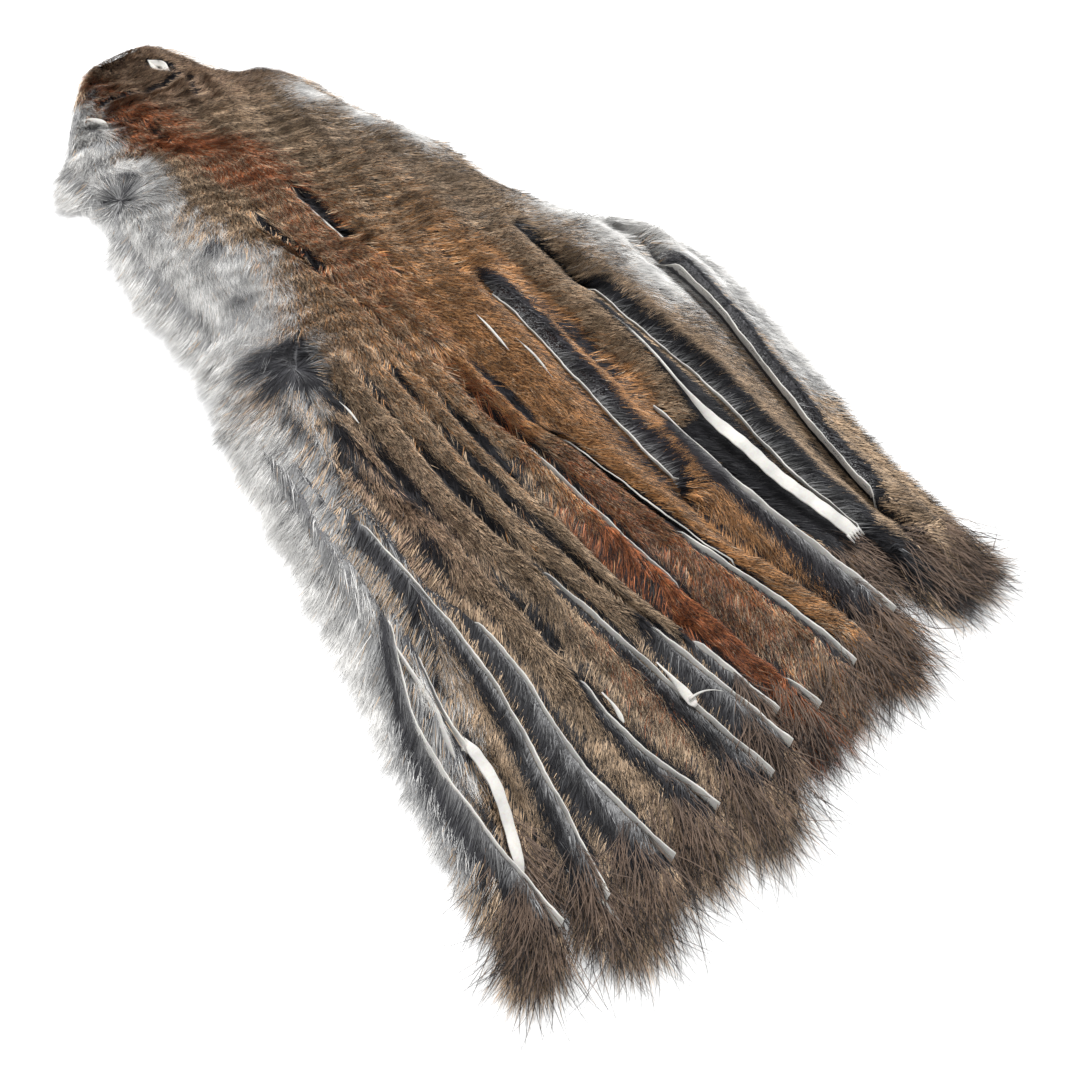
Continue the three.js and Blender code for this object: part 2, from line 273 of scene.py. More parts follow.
def lump(x, y):
    along = np.sin(y * 0.33 + 1.7 * np.sin(x * 0.16))
    across = np.sin(x * 0.47 + 1.3 * np.sin(y * 0.11 + 2))
    small = np.sin(x * 0.9 + y * 0.71) * np.sin(y * 0.83 - x * 0.37)
    return LUMP_HEIGHT * (0.5 * along + 0.6 * across + 0.5 * small)


def body_height(x, y):
    left, right = rim_left(y), rim_right(y)
    side = np.clip(np.abs(2 * (x - left) / (right - left) - 1), 0, 1)
    crown = np.sqrt(np.maximum(0, 1 - side**CROWN_POWER))
    top = outline("height", y) + lump(x, y) * ease(y, 108, 95)
    return RIM_HEIGHT + (top - RIM_HEIGHT) * crown


print("height on the back:", round(float(body_height(0.0, 0.0)), 2), "mm")

# %% [markdown]
# ## Where a point lies among the strips
# For any point the skin has a left and a right border, either a cut or the rim. Each border says
# how far it is open and whether a leather edge stands there. The strip between them is highest
# beside its standing edge and falls away from it, because the hair starts at the leather.

# %% Borders


def cut_x(k, y):
    return through(STATIONS, CUTS[k]["x"], y)


def opened(k, y):
    return ease(y, CUTS[k]["root"], CUTS[k]["root"] - CUT_RAMP)


def borders(y):
    """The x of the rims and cuts at y, how far each is open, and how far an edge stands there."""
    rows = len(CUTS) + 2
    place, gap = np.zeros((rows, len(y))), np.ones((rows, len(y)))
    stands = {"left": np.zeros((rows, len(y))), "right": np.zeros((rows, len(y)))}
    roots = {"left": np.ones((rows, len(y))), "right": np.ones((rows, len(y)))}
    place[0], place[-1] = rim_left(y), rim_right(y)
    for k in range(len(CUTS)):
        place[k + 1], gap[k + 1] = cut_x(k, y), opened(k, y)
    for edge in EDGES:
        row, side, start, stop = edge["cut"] + 1, edge["falls"], edge["from"], edge["to"]
        shown = ease(y, start + 3, start - 7) * (1 - ease(y, stop + 1, stop - 4) * (stop > -86))
        stands[side][row] = np.maximum(stands[side][row], shown)
        width = mix(edge["roots"][0], edge["roots"][1], np.clip((y - start) / (stop - start), 0, 1))
        inside = (y <= start + 3) & (y >= stop - (14 if stop <= -86 else 3))
        roots[side][row] = np.where(inside, width, roots[side][row])
    return place, gap, stands, roots


def strip_at(x, y):
    """Which strip each point lies on, from 0 at the left."""
    found = np.zeros(len(x), int)
    for k in range(len(CUTS)):
        found += cut_x(k, y) < x
    return found


SHAPES = {
    "falls_left": ((0, 0.26, 0.7, 1), (0.9, 3.6, 6.3, LEATHER_EDGE)),
    "falls_right": ((0, 0.3, 0.74, 1), (LEATHER_EDGE, 6.3, 3.6, 0.9)),
    "both": ((0, 0.3, 0.7, 1), (LEATHER_EDGE, 5.6, 5.6, LEATHER_EDGE)),
    "neither": ((0, 0.25, 0.75, 1), (1.2, 6.0, 6.0, 1.2)),
}
BUTTS = 3.4  # how high the fur stands against the back of its neighbour's leather edge
# Strips that have turned over, flesh side up: between which y they turn, and how low the fur is
TURNED = {1: (-60, -68, 0.62), 12: (-30, -42, 0.6)}


def strip_facts(strip, y):
    """The borders of the named strip at y."""
    place, gap, stands, roots = borders(y)
    column = np.arange(len(y))
    return {
        "left": place[strip, column],
        "right": place[strip + 1, column],
        "open_left": gap[strip, column],
        "open_right": gap[strip + 1, column],
        "end": ENDS[strip],
        "meets_left": stands["left"][strip, column],
        "meets_right": stands["right"][strip + 1, column] * (strip < len(CUTS) - 1),
        "stands_left": stands["right"][strip, column],
        "stands_right": stands["left"][strip + 1, column],
        "roots_left": roots["right"][strip, column],
        "roots_right": roots["left"][strip + 1, column],
    }


def fur_height(x, y, strip, facts=None):
    """The height of the fur's surface over a point that belongs to the named strip."""
    f = facts or strip_facts(strip, y)
    left_up, right_up = f["stands_left"], f["stands_right"]
    weights = {
        "falls_left": right_up * (1 - left_up),
        "falls_right": left_up * (1 - right_up),
        "both": left_up * right_up,
        "neither": (1 - left_up) * (1 - right_up),
    }
    at = [sum(w * SHAPES[s][0][i] for s, w in weights.items()) for i in range(4)]
    z = [sum(w * SHAPES[s][1][i] for s, w in weights.items()) for i in range(4)]
    width = np.maximum(f["right"] - f["left"], 0.3)
    t = np.clip((x - f["left"]) / width, 0, 1)
    tall = outline("height", y) / SECTION_HEIGHT
    share = ease(y, 24, -22)
    closed = [body_height(f[side], y) - GROOVE_DEPTH * share for side in ("left", "right")]
    z[0] = mix(closed[0], np.maximum(z[0], BUTTS * f["meets_left"]), f["open_left"])
    z[3] = mix(closed[1], np.maximum(z[3], BUTTS * f["meets_right"]), f["open_right"])
    bumps = STRIP_LUMPS * lump(x * 1.6, y)
    z[1] = mix(body_height(x, y), z[1] * tall + bumps, share)
    z[2] = mix(body_height(x, y), z[2] * tall + bumps, share)
    for turned, (start, stop, low) in TURNED.items():
        sunk = mix(1.0, low, ease(y, start, stop) * (strip == turned))
        z[1], z[2] = z[1] * sunk, z[2] * sunk
    height = np.where(
        t < at[1],
        mix(z[0], z[1], t / np.maximum(at[1], 1e-3)),
        np.where(
            t < at[2],
            mix(z[1], z[2], (t - at[1]) / np.maximum(at[2] - at[1], 1e-3)),
            mix(z[2], z[3], (t - at[2]) / np.maximum(1 - at[2], 1e-3)),
        ),
    )
    height = np.where(y > STRIPS_TOP, body_height(x, y), height)
    beyond = np.maximum(f["left"] - x, x - f["right"])
    rim = ((strip == 0) & (x < f["left"])) | ((strip == len(CUTS)) & (x > f["right"]))
    height = np.where(rim, RIM_HEIGHT * np.clip(1 - beyond / 4.5, 0.15, 1), height)
    tail = ease(y, f["end"] + 8, f["end"] - 0.9 * REACHES[strip])
    return height * (1 - 0.93 * tail)


sample_y = np.array((-50.0, -50.0, 40.0))
sample_x = np.array((-31.0, -27.0, 0.0))
print("fur heights:", fur_height(sample_x, sample_y, strip_at(sample_x, sample_y)).round(1), "mm")

# %% [markdown]
# ## Rings into tubes
# Leather ribbons and the underfur are long closed tubes. Each row along the strip is a ring of
# points, and neighbouring rings are joined by four-sided faces. Writing the points with numpy and
# handing them to Blender in one go is far quicker than adding faces one by one.

# %% Build a mesh from rings
EYE = {"x": 2.6, "y": 95.8, "half_length": 2.9, "half_width": 1.4, "turn": -1.25}


def in_eye(x, y, grow=1.0):
    c, s = math.cos(EYE["turn"]), math.sin(EYE["turn"])
    dx, dy = x - EYE["x"], y - EYE["y"]
    u, v = dx * c + dy * s, dy * c - dx * s
    return (u / (EYE["half_length"] * grow)) ** 2 + (v / (EYE["half_width"] * grow)) ** 2 < 1


def tube_parts(rings, first):
    """Vertices and faces of one tube: rings is rows x points x 3, in millimetres."""
    rows, count = rings.shape[:2]
    a = first + np.arange(rows - 1)[:, None] * count + np.arange(count)[None, :]
    b = first + np.arange(rows - 1)[:, None] * count + (np.arange(count)[None, :] + 1) % count
    faces = np.stack((a, a + count, b + count, b), -1).reshape(-1, 4).tolist()
    faces.append(list(range(first, first + count)))
    faces.append(list(range(first + rows * count - 1, first + (rows - 1) * count - 1, -1)))
    return rings.reshape(-1, 3), faces


def tubes_object(name, tubes, whole=0):
    """One object from many tubes; faces in the eye are left out, except in the last whole ones."""
    points, faces, first = [], [], 0
    for rings in tubes:
        vertices, added = tube_parts(rings, first)
        points.append(vertices)
        faces.extend(added)
        first += len(vertices)
    whole_from = first - sum(len(p) for p in points[len(points) - whole :])
    points = np.concatenate(points)
    ring_ends = [f for f in faces if len(f) > 4]
    quads = [f for f in faces if len(f) == 4]
    centre = points[np.array(quads)].mean(1)
    keep = ~in_eye(centre[:, 0], centre[:, 1], 1.15) | (np.array(quads).min(1) >= whole_from)
    faces = [q for q, k in zip(quads, keep) if k] + ring_ends
    mesh = bpy.data.meshes.new(name)
    mesh.from_pydata((points * MM).tolist(), [], faces)
    mesh.validate()
    mesh.shade_smooth()
    piece = bpy.data.objects.new(name, mesh)
    bpy.context.scene.collection.objects.link(piece)
    return piece


print("the eye is", 2 * EYE["half_length"], "mm long")

# %% [markdown]
# ## The leather
# The skin itself is soft white leather, less than a millimetre thick. On the real object it shows
# only where a strip stands on edge, as a thin pale line, and where two strips lie flesh side up as
# cream ribbons. It could be a plane with a Solidify modifier, but the strips twist from flat to
# upright over a few centimetres, so each row's cross-section is placed directly.

# %% The ribbon of each strip
LEATHER = 0.25  # thickness as drawn
RIBBON_LEATHER = 0.34  # thickness of the bare ribbons
LEVEL_STRIP = 10  # the strip that leans furthest
BARE_LIFT = 0.1  # how far a standing edge rises above its height in the solid
# Corners of a bar's section: how far in from its end, and how far out in half thicknesses
BAR = ((0, -0.55), (0.12, -1), (-0.12, -1), (0, -0.55), (0, 0.55), (-0.12, 1), (0.12, 1), (0, 0.55))


def leather_ring(a, b, y, half):
    """A rounded bar from the point a to b (x and z) at the station y."""
    along = b - a
    length = np.maximum(np.hypot(along[:, 0], along[:, 1]), 0.2)
    along = along / length[:, None]
    side = np.stack((-along[:, 1], along[:, 0]), 1)
    ring = []
    for i, (inset, out) in enumerate(BAR):
        end = b if 2 <= i <= 5 else a
        ring.append(end + along * inset + side * out * half[:, None])
    ring = np.stack(ring, 1)
    rows = np.repeat(y[:, None], ring.shape[1], 1)
    return np.stack((ring[:, :, 0], rows, np.maximum(ring[:, :, 1], 0.02)), 2)


def strip_ribbon(k):
    y = np.arange(STRIPS_TOP, ENDS[k] - 0.1, -1.0)
    strip = np.full(len(y), k)
    f = strip_facts(strip, y)
    wave = 0.09 * np.sin(y * 0.55 + 2 * k) + 0.04 * np.sin(y * 2.3 + k)
    flat_z = 0.55
    a = np.stack((f["left"] + 0.3, np.full(len(y), flat_z)), 1)
    b = np.stack((f["right"] - 0.3, np.full(len(y), flat_z)), 1)
    tall = LEATHER_EDGE + BARE_LIFT + 0.12 * np.sin(y * 0.9 + k)
    right, left = f["stands_right"][:, None] ** 3, f["stands_left"][:, None] ** 3
    lean = np.where(k == LEVEL_STRIP, 3.0, 1.5)
    up_right = np.stack((f["right"] - 0.3 + wave, tall), 1)
    foot_right = np.stack((f["right"] - lean, np.full(len(y), 0.5)), 1)
    up_left = np.stack((f["left"] + 0.3 + wave, tall), 1)
    foot_left = np.stack((f["left"] + lean, np.full(len(y), 0.5)), 1)
    b = mix(b, up_right, right)
    a = mix(a, foot_right, right)
    a = mix(a, up_left, left)
    b = mix(b, foot_left, left)
    thin = {5: 0.7, 8: 0.6}.get(k, 1.0)
    uneven = 1 + 0.2 * np.sin(y * 0.31 + 3 * k) + 0.08 * np.sin(y * 2.1 + k)
    return leather_ring(a, b, y, np.full(len(y), LEATHER / 2 * thin) * uneven)


def edge_thread(k, start, stop):
    """The right edge of a strip whose left edge stands as well."""
    y = np.arange(float(start), float(stop), -1.0)
    f = strip_facts(np.full(len(y), k), y)
    x = f["right"] - 0.3 + 0.09 * np.sin(y * 0.55 + 2 * k)
    top = LEATHER_EDGE + BARE_LIFT - 0.6 * ease(y, start - 3, start)
    a, b = np.stack((x + 0.2, top - 1.4), 1), np.stack((x, top), 1)
    return leather_ring(a, b, y, np.full(len(y), LEATHER / 2))


def body_slab():
    y = np.arange(103.0, 19.4, -1.1)
    columns = np.linspace(0, 1, 40)
    inset = 1.0 + 2.6 * ease(y, 82, 94)
    left, right = rim_left(y) + inset, rim_right(y) - inset
    x = left[:, None] + (right - left)[:, None] * columns[None, :]
    rows = np.repeat(y[:, None], len(columns), 1)
    top = np.stack((x, rows, np.full_like(x, 0.85)), 2)
    low = np.stack((x, rows, np.full_like(x, 0.05)), 2)[:, ::-1]
    return np.concatenate((top, low), 1)


# Ribbons and slivers of bare leather, the two broad ones flesh side up. Each has the points of its
# middle line, its width at both ends, the y between which it turns, its tilt and the kind of end
BARE_RIBBONS = (
    {"path": ((28.8, -13, 5.6), (28.8, -20, 6.7), (28.5, -28, 6.7), (27.6, -36, 6.4),
              (27.0, -44, 6.1), (27.4, -52, 6.0), (27.4, -60, 5.9), (28.4, -68, 5.8),
              (29.1, -73, 5.5), (29.3, -75.5, 5.3)),
     "width": (0.5, 2.15), "turns": (-34, -50), "tilt": 8, "end": "torn"},
    {"path": ((-39.8, -64, 2.4), (-40.6, -70, 4.7), (-41.3, -75, 5.2),
              (-42.6, -79, 5.2), (-44.2, -83, 4.6), (-45.6, -86.5, 3.8), (-46.6, -89, 2.6)),
     "width": (1.2, 1.8), "turns": (-64, -70), "tilt": -12, "end": "pointed"},
    {"path": ((-38.6, -45, 3.6), (-39.6, -50, 4.9), (-40.3, -55, 5.2), (-41.2, -61, 5.0),
              (-42.4, -65, 4.2), (-43.2, -69, 3.0)),
     "width": (0.8, 1.2), "turns": (-50, -62), "tilt": 50, "end": "pointed"},
    {"path": ((-10.2, -74, 4.6), (-10.4, -77, 5.1), (-10.6, -80, 5.3), (-10.8, -83.5, 5.2)),
     "width": (0.15, 1.6), "turns": (-74, -83), "tilt": 20, "end": "wedge"},
    {"path": ((-19.9, -73, 4.6), (-20.1, -76, 5.0), (-20.7, -79, 4.9)),
     "width": (0.15, 0.8), "turns": (-73, -79), "tilt": 25, "end": "wedge"},
    {"path": ((-40.9, -91, 2.9), (-40.6, -95, 3.3), (-40.0, -99, 3.0), (-39.7, -101, 2.4)),
     "width": (0.8, 0.9), "turns": (-92, -96), "tilt": 40, "end": "pointed"},
    {"path": ((-19.6, -3.6, 6.3), (-19.7, -6.5, 6.9), (-19.7, -10, 6.3)),
     "width": (0.4, 0.5), "turns": (0, -3), "tilt": 55, "end": "pointed"},
    {"path": ((-17.4, 92, 2.2), (-16.4, 89.5, 3.6), (-15.2, 87, 3.9), (-14.4, 84.5, 3.2)),
     "width": (0.6, 1.4), "turns": (92, 88), "tilt": 30, "end": "pointed"},
    {"path": ((2.2, 44.5, 6.0), (2.3, 39.5, 6.1), (2.6, 33.5, 6.0), (3.0, 26.5, 5.8)),
     "width": (0.35, 0.45), "turns": (40, 34), "tilt": 60, "end": "pointed"},
    {"path": ((9.8, -1.5, 7.4), (9.5, -6, 7.7), (9.2, -12.5, 7.2)),
     "width": (0.3, 0.4), "turns": (0, -3), "tilt": 60, "end": "pointed"},
    {"path": ((12.1, -10.5, 6.8), (11.9, -15.8, 7.2), (11.5, -21.5, 6.6)),
     "width": (0.3, 0.4), "turns": (-12, -15), "tilt": 60, "end": "pointed"},
)
TORN_TABS = ((28.2, 0.9), (28.75, 0.55), (29.3, 0.8), (29.9, 0.5), (30.4, 0.75))


def bare_ribbon(ribbon):
    path = np.array(ribbon["path"], float)
    y = np.arange(path[0, 1], path[-1, 1] - 0.01, -0.5)
    x, z = through(path[:, 1], path[:, 0], y), through(path[:, 1], path[:, 2], y)
    share = ease(y, *ribbon["turns"])
    width = mix(ribbon["width"][0], ribbon["width"][1], share) * (1 + 0.05 * np.sin(y * 1.7))
    if ribbon["end"] == "pointed":
        width = width * mix(0.12, 1.0, ease(y, path[0, 1], path[0, 1] - 6.0))
        width = width * mix(1.0, 0.12, ease(y, path[-1, 1] + 3.0, path[-1, 1]))
    if ribbon["end"] == "wedge":
        width = width * mix(1.0, 0.3, ease(y, path[-1, 1] + 0.9, path[-1, 1]))
    angle = np.radians(mix(80.0, float(ribbon["tilt"]), share))
    half = np.stack((np.cos(angle), np.sin(angle)), 1) * width[:, None] / 2
    centre = np.stack((x, z), 1)
    return leather_ring(centre - half, centre + half, y, np.full(len(y), RIBBON_LEATHER / 2))


def torn_tab(x, length):
    """A small tooth of leather past the torn end of the broad ribbon."""
    y = np.linspace(-75.0, -75.8 - length, 5)
    width = 0.42 * np.linspace(1, 0.2, 5)
    z = 5.3 + 0.1 * (x - 28.2) + np.linspace(0, -0.25, 5)
    a, b = np.stack((x - width / 2, z), 1), np.stack((x + width / 2, z), 1)
    return leather_ring(a, b, y, np.full(5, 0.22))


def eye_lip():
    """Bare leather round the eye, a funnel that turns down into the hole."""
    rings = []
    for grow, z in ((1.1, 3.3), (1.02, 3.9), (0.8, 3.7), (0.5, 3.3), (0.12, 3.1)):
        t = np.linspace(0, 2 * math.pi, 33)
        u, v = np.cos(t) * EYE["half_length"] * grow, np.sin(t) ** 3 * EYE["half_width"] * grow
        c, n = math.cos(EYE["turn"]), math.sin(EYE["turn"])
        rings.append(np.stack((EYE["x"] + u * c - v * n, EYE["y"] + u * n + v * c, np.full(33, z)), 1))
    return np.stack(rings, 1)


def curled_sliver():
    """A sliver of leather that stands out sideways from a cut edge."""
    t = np.linspace(0, 1, 14)
    x = -11.0 + 4.6 * t
    y = -82.2 - 0.3 * t - 1.9 * t**2
    z = 5.6 + 0.9 * np.sin(t * 2.6)
    size = 0.27 * (1 - 0.8 * t)
    ring = [(0, -1, 0), (0, 0, 1), (0, 1, 0), (0, 0, -1)]
    return np.stack([np.stack((x, y + p[1] * size, z + p[2] * size * 0.7), 1) for p in ring], 1)


leather_tubes = [body_slab()] + [strip_ribbon(k) for k in range(len(STRIP_ENDS))]
leather_tubes += [bare_ribbon(r) for r in BARE_RIBBONS] + [torn_tab(*tab) for tab in TORN_TABS]
leather_tubes += [edge_thread(11, -35, -53), curled_sliver(), eye_lip()]
hide = tubes_object("hide", leather_tubes, whole=1)
print("leather faces:", len(hide.data.polygons))

# %% [markdown]
# ## The leather's finish
# Tanned leather is cream on the flesh side and almost white at a fresh cut, with a fine nap and
# faint grey stains. A noise at two sizes gives the stains and the nap, and a bump gives the nap
# its relief.

# %% Leather material


def leather_finish():
    material, tree, shader = new_material("leather_cream", 0.85, 0.2)
    place = node(tree, "ShaderNodeTexCoord").outputs["Object"]
    stains = node(tree, "ShaderNodeTexNoise", {"Vector": place, "Scale": 220.0, "Detail": 4.0})
    nap = node(tree, "ShaderNodeTexNoise", {"Vector": place, "Scale": 2600.0, "Detail": 3.0})
    ramp = node(tree, "ShaderNodeValToRGB", {"Fac": stains.outputs["Fac"]})
    ramp.color_ramp.elements[0].position = 0.3
    ramp.color_ramp.elements[0].color = linear(0.72, 0.715, 0.70)
    ramp.color_ramp.elements[1].position = 0.62
    ramp.color_ramp.elements[1].color = linear(0.84, 0.83, 0.805)
    fine = blend(tree, nap.outputs["Fac"], ramp.outputs["Color"], nap.outputs["Color"], "MULTIPLY")
    soft = blend(tree, 0.4, ramp.outputs["Color"], fine)
    tree.links.new(soft, shader.inputs["Base Color"])
    relief = {"Height": nap.outputs["Fac"], "Strength": 0.35, "Distance": 0.0002}
    bump = node(tree, "ShaderNodeBump", relief)
    tree.links.new(bump.outputs["Normal"], shader.inputs["Normal"])
    shader.inputs["Sheen Weight"].default_value = 0.15
    shader.inputs["Sheen Roughness"].default_value = 0.6
    return material


hide.data.materials.append(leather_finish())
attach(hide, "root")
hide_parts("skin")
print("leather is ready")

# %% [markdown]
# ## How hair is coloured
# A hair of this fur is slate grey for its lower half, then has a pale or coloured band, and ends
# in a dark tip. That one rule explains both looks in the photograph: the brown grizzled top is
# bands and tips, and the dark stripe beside each cut is the same hairs seen at their roots. Each
# hair therefore carries two numbers in its UV map: how far along the hair a point is, and a number
# of its own for small differences. One node group turns them into colour, and each kind of hair
# uses that group with its own colours. A noise that differs from hair to hair shifts the bands
# along the hair. That is what makes the coat look ticked and not striped.

# %% The banded hair group
HAIR_SPAN = 9.0  # millimetres of hair that the map's v covers
LANES = 700.0  # spreads the hairs' own numbers so far apart that neighbours differ
TICK_SHIFT = 1.9  # millimetres that a band moves at most
HAIR_INPUTS = ("Root Color", "Band Color", "Tip Color", "Band Start", "Tip Start", "Unevenness", "Ticks")


def banded_hair_group():
    group = bpy.data.node_groups.new("banded_hair", "ShaderNodeTree")
    face = group.interface
    for name in HAIR_INPUTS:
        kind = "NodeSocketColor" if "Color" in name else "NodeSocketFloat"
        face.new_socket(name, in_out="INPUT", socket_type=kind)
    for name in ("Map", "Place"):
        face.new_socket(name, in_out="INPUT", socket_type="NodeSocketVector")
    face.new_socket("Color", in_out="OUTPUT", socket_type="NodeSocketColor")
    face.new_socket("Roughness", in_out="OUTPUT", socket_type="NodeSocketFloat")
    start = group.nodes.new("NodeGroupInput").outputs
    finish = group.nodes.new("NodeGroupOutput").inputs
    parts = node(group, "ShaderNodeSeparateXYZ", {"Vector": start["Map"]}).outputs
    along = math_node(group, "MULTIPLY", parts["Y"], HAIR_SPAN)
    lane = math_node(group, "MULTIPLY", parts["X"], LANES)
    course = node(group, "ShaderNodeCombineXYZ", {"X": lane, "Y": along}).outputs[0]
    noise = {"Vector": course, "Scale": 0.8, "Detail": 1.0}
    ticks = node(group, "ShaderNodeTexNoise", noise).outputs[0]
    moved = map_range(group, ticks, 0.3, 0.7, -TICK_SHIFT, TICK_SHIFT)
    banded = math_node(group, "GREATER_THAN", along, 4.0)
    moved = math_node(group, "MULTIPLY", moved, banded)
    moved = math_node(group, "MULTIPLY", moved, start["Ticks"])
    along = math_node(group, "ADD", along, moved)

    def step(first, width):
        last = math_node(group, "ADD", first, width)
        return map_range(group, along, first, last, interpolation_type="SMOOTHSTEP")

    bare = map_range(group, along, 0.0, 1.5, 0.8, 0.0)
    color = blend(group, bare, start["Root Color"], linear(0.66, 0.66, 0.66))
    color = blend(group, step(start["Band Start"], 1.1), color, start["Band Color"])
    color = blend(group, step(start["Tip Start"], 0.9), color, start["Tip Color"])
    own = math_node(group, "SUBTRACT", parts["X"], 0.5)
    own = math_node(group, "MULTIPLY", own, start["Unevenness"])
    own = math_node(group, "ADD", own, 1.0)
    noise = {"Vector": start["Place"], "Scale": 230.0, "Detail": 3.0}
    patches = node(group, "ShaderNodeTexNoise", noise).outputs[0]
    own = math_node(group, "MULTIPLY", own, map_range(group, patches, 0.3, 0.7, 0.74, 1.2))
    gray = node(group, "ShaderNodeCombineColor", {0: own, 1: own, 2: own}).outputs[0]
    group.links.new(blend(group, 1.0, color, gray, "MULTIPLY"), finish["Color"])
    rough = map_range(group, along, 0.0, HAIR_SPAN, 0.75, 0.5)
    group.links.new(rough, finish["Roughness"])
    return group


HAIR_GROUP = banded_hair_group()
# Colours of root, band and tip, where band and tip start, how uneven hairs are, how much they tick
HAIR_KINDS = {
    "white": ((0.22, 0.22, 0.235), (0.58, 0.58, 0.58), (0.88, 0.875, 0.865), 3.4, 6.5, 0.35, 0.25),
    "agouti": ((0.14, 0.14, 0.155), (0.75, 0.645, 0.53), (0.11, 0.085, 0.075), 3.9, 6.9, 0.9, 1.0),
    "brown": ((0.15, 0.14, 0.155), (0.62, 0.51, 0.42), (0.11, 0.085, 0.07), 3.9, 6.8, 0.9, 1.0),
    "ochre": ((0.16, 0.15, 0.17), (0.79, 0.575, 0.37), (0.15, 0.09, 0.06), 3.7, 6.9, 0.9, 1.0),
    "rust": ((0.13, 0.105, 0.11), (0.68, 0.40, 0.24), (0.16, 0.085, 0.06), 3.5, 7.0, 0.9, 1.0),
    "guard": ((0.27, 0.23, 0.21), (0.40, 0.33, 0.28), (0.12, 0.09, 0.08), 2.0, 4.5, 0.4, 1.0),
}


def hair_material(kind):
    material, tree, shader = new_material("hair_" + kind, 0.6, 0.35)
    uv = node(tree, "ShaderNodeUVMap", uv_map="Hair")
    hair = node(tree, "ShaderNodeGroup", node_tree=HAIR_GROUP)
    for name, value in zip(HAIR_INPUTS, HAIR_KINDS[kind]):
        hair.inputs[name].default_value = linear(*value) if "Color" in name else value
    tree.links.new(uv.outputs["UV"], hair.inputs["Map"])
    tree.links.new(node(tree, "ShaderNodeTexCoord").outputs["Object"], hair.inputs["Place"])
    tree.links.new(hair.outputs["Color"], shader.inputs["Base Color"])
    tree.links.new(hair.outputs["Roughness"], shader.inputs["Roughness"])
    return material


HAIR_MATERIALS = {kind: hair_material(kind) for kind in HAIR_KINDS}
print("hair kinds:", ", ".join(HAIR_MATERIALS))

# %% [markdown]
# ## Where each kind of hair grows
# The back is agouti brown, warmer along the spine, with a rust stripe over the shoulders and down
# the middle strips. The belly side at the left is white, and so is a fringe at the right. Each
# kind gets a weight at every point of the skin, and a hair's kind is drawn by those weights, so
# the zones run into each other as they do in real fur.

# %% Zones of colour
WHORL = {"x": -22.9, "y": 66.0, "size": 7.5}
POCKET = {"x": -20.2, "y": 9.3, "size": 7.0}
WHITE_EDGE = {
    "y": (108, 100, 92, 80, 72, 61, 46, 40, 34, 29, 23, 17, 7, -3, -16, -30, -40, -50, -65, -78,
          -92, -110),
    "x": (-14, -13, -13, -14.5, -15, -15, -13.5, -10, -8.5, -11, -13, -15, -18, -23, -25.5, -27,
          -29, -31, -37, -44, -51, -60),
}
SPINE = {
    "y": (108, 89, 74, 62, 48, 31, 13, -4, -18, -30, -60, -110),
    "x": (-14, -12, -7, -2, 1, -1, 0, 1, 2, 2, 3, 4),
}
# Pale patches apart from the flank: x, y, half width, half length
WHITE_PATCHES = ((19.5, 72, 4, 6), (24, 60, 3, 7), (29, 49, 3.5, 7), (40, 15, 7, 8), (42, 4, 6.5, 9),
                 (42, -9, 6, 10), (50, -12, 8, 16), (51, -34, 6.5, 14))
# Grey roots showing through the pale fur, round the pocket and down the left strips also painted shade
# of the hollows: x, y, half width, half length, how much
GRAY_PATCHES = (
    (-18.4, 38.8, 2.6, 1.9, 1.3), (-20.6, 9.6, 4.0, 3.6, 1.7), (-21.5, 4.0, 5.2, 5.4, 1.3),
    (-26, 11, 8, 4.4, 0.95), (-22, 24, 4, 4, 0.6), (-20, -3, 2.6, 5, 1.0),
    (-29.5, -6, 2.2, 8, 0.95), (-23.6, -11, 2.6, 7, 0.9), (-21.4, -27, 3.0, 9, 0.8),
    (-26, -38, 3.5, 7, 0.95), (-34, -30, 2.2, 9, 0.7), (-29, 42, 2.5, 9, 0.45),
    (-28, 5, 5, 4, 0.95), (-24, 50, 3, 5, 0.5), (-28, 28, 3, 6, 0.5), (-47, -76, 2.5, 8, 0.5),
    (-36, -50, 3, 7, 0.8), (-34, -66, 2.5, 12, 0.7),
)


def bump_at(x, y, cx, cy, rx, ry):
    return np.exp(-(((x - cx) / rx) ** 2) - ((y - cy) / ry) ** 2)


def ragged(x, y):
    """Slow waves that make a border of colour uneven."""
    broad = 1.4 * np.sin(x * 0.8 + 2 * np.sin(y * 0.3)) * np.sin(y * 0.55 + x * 0.2)
    return broad + 0.8 * np.sin(y * 1.3 - x)


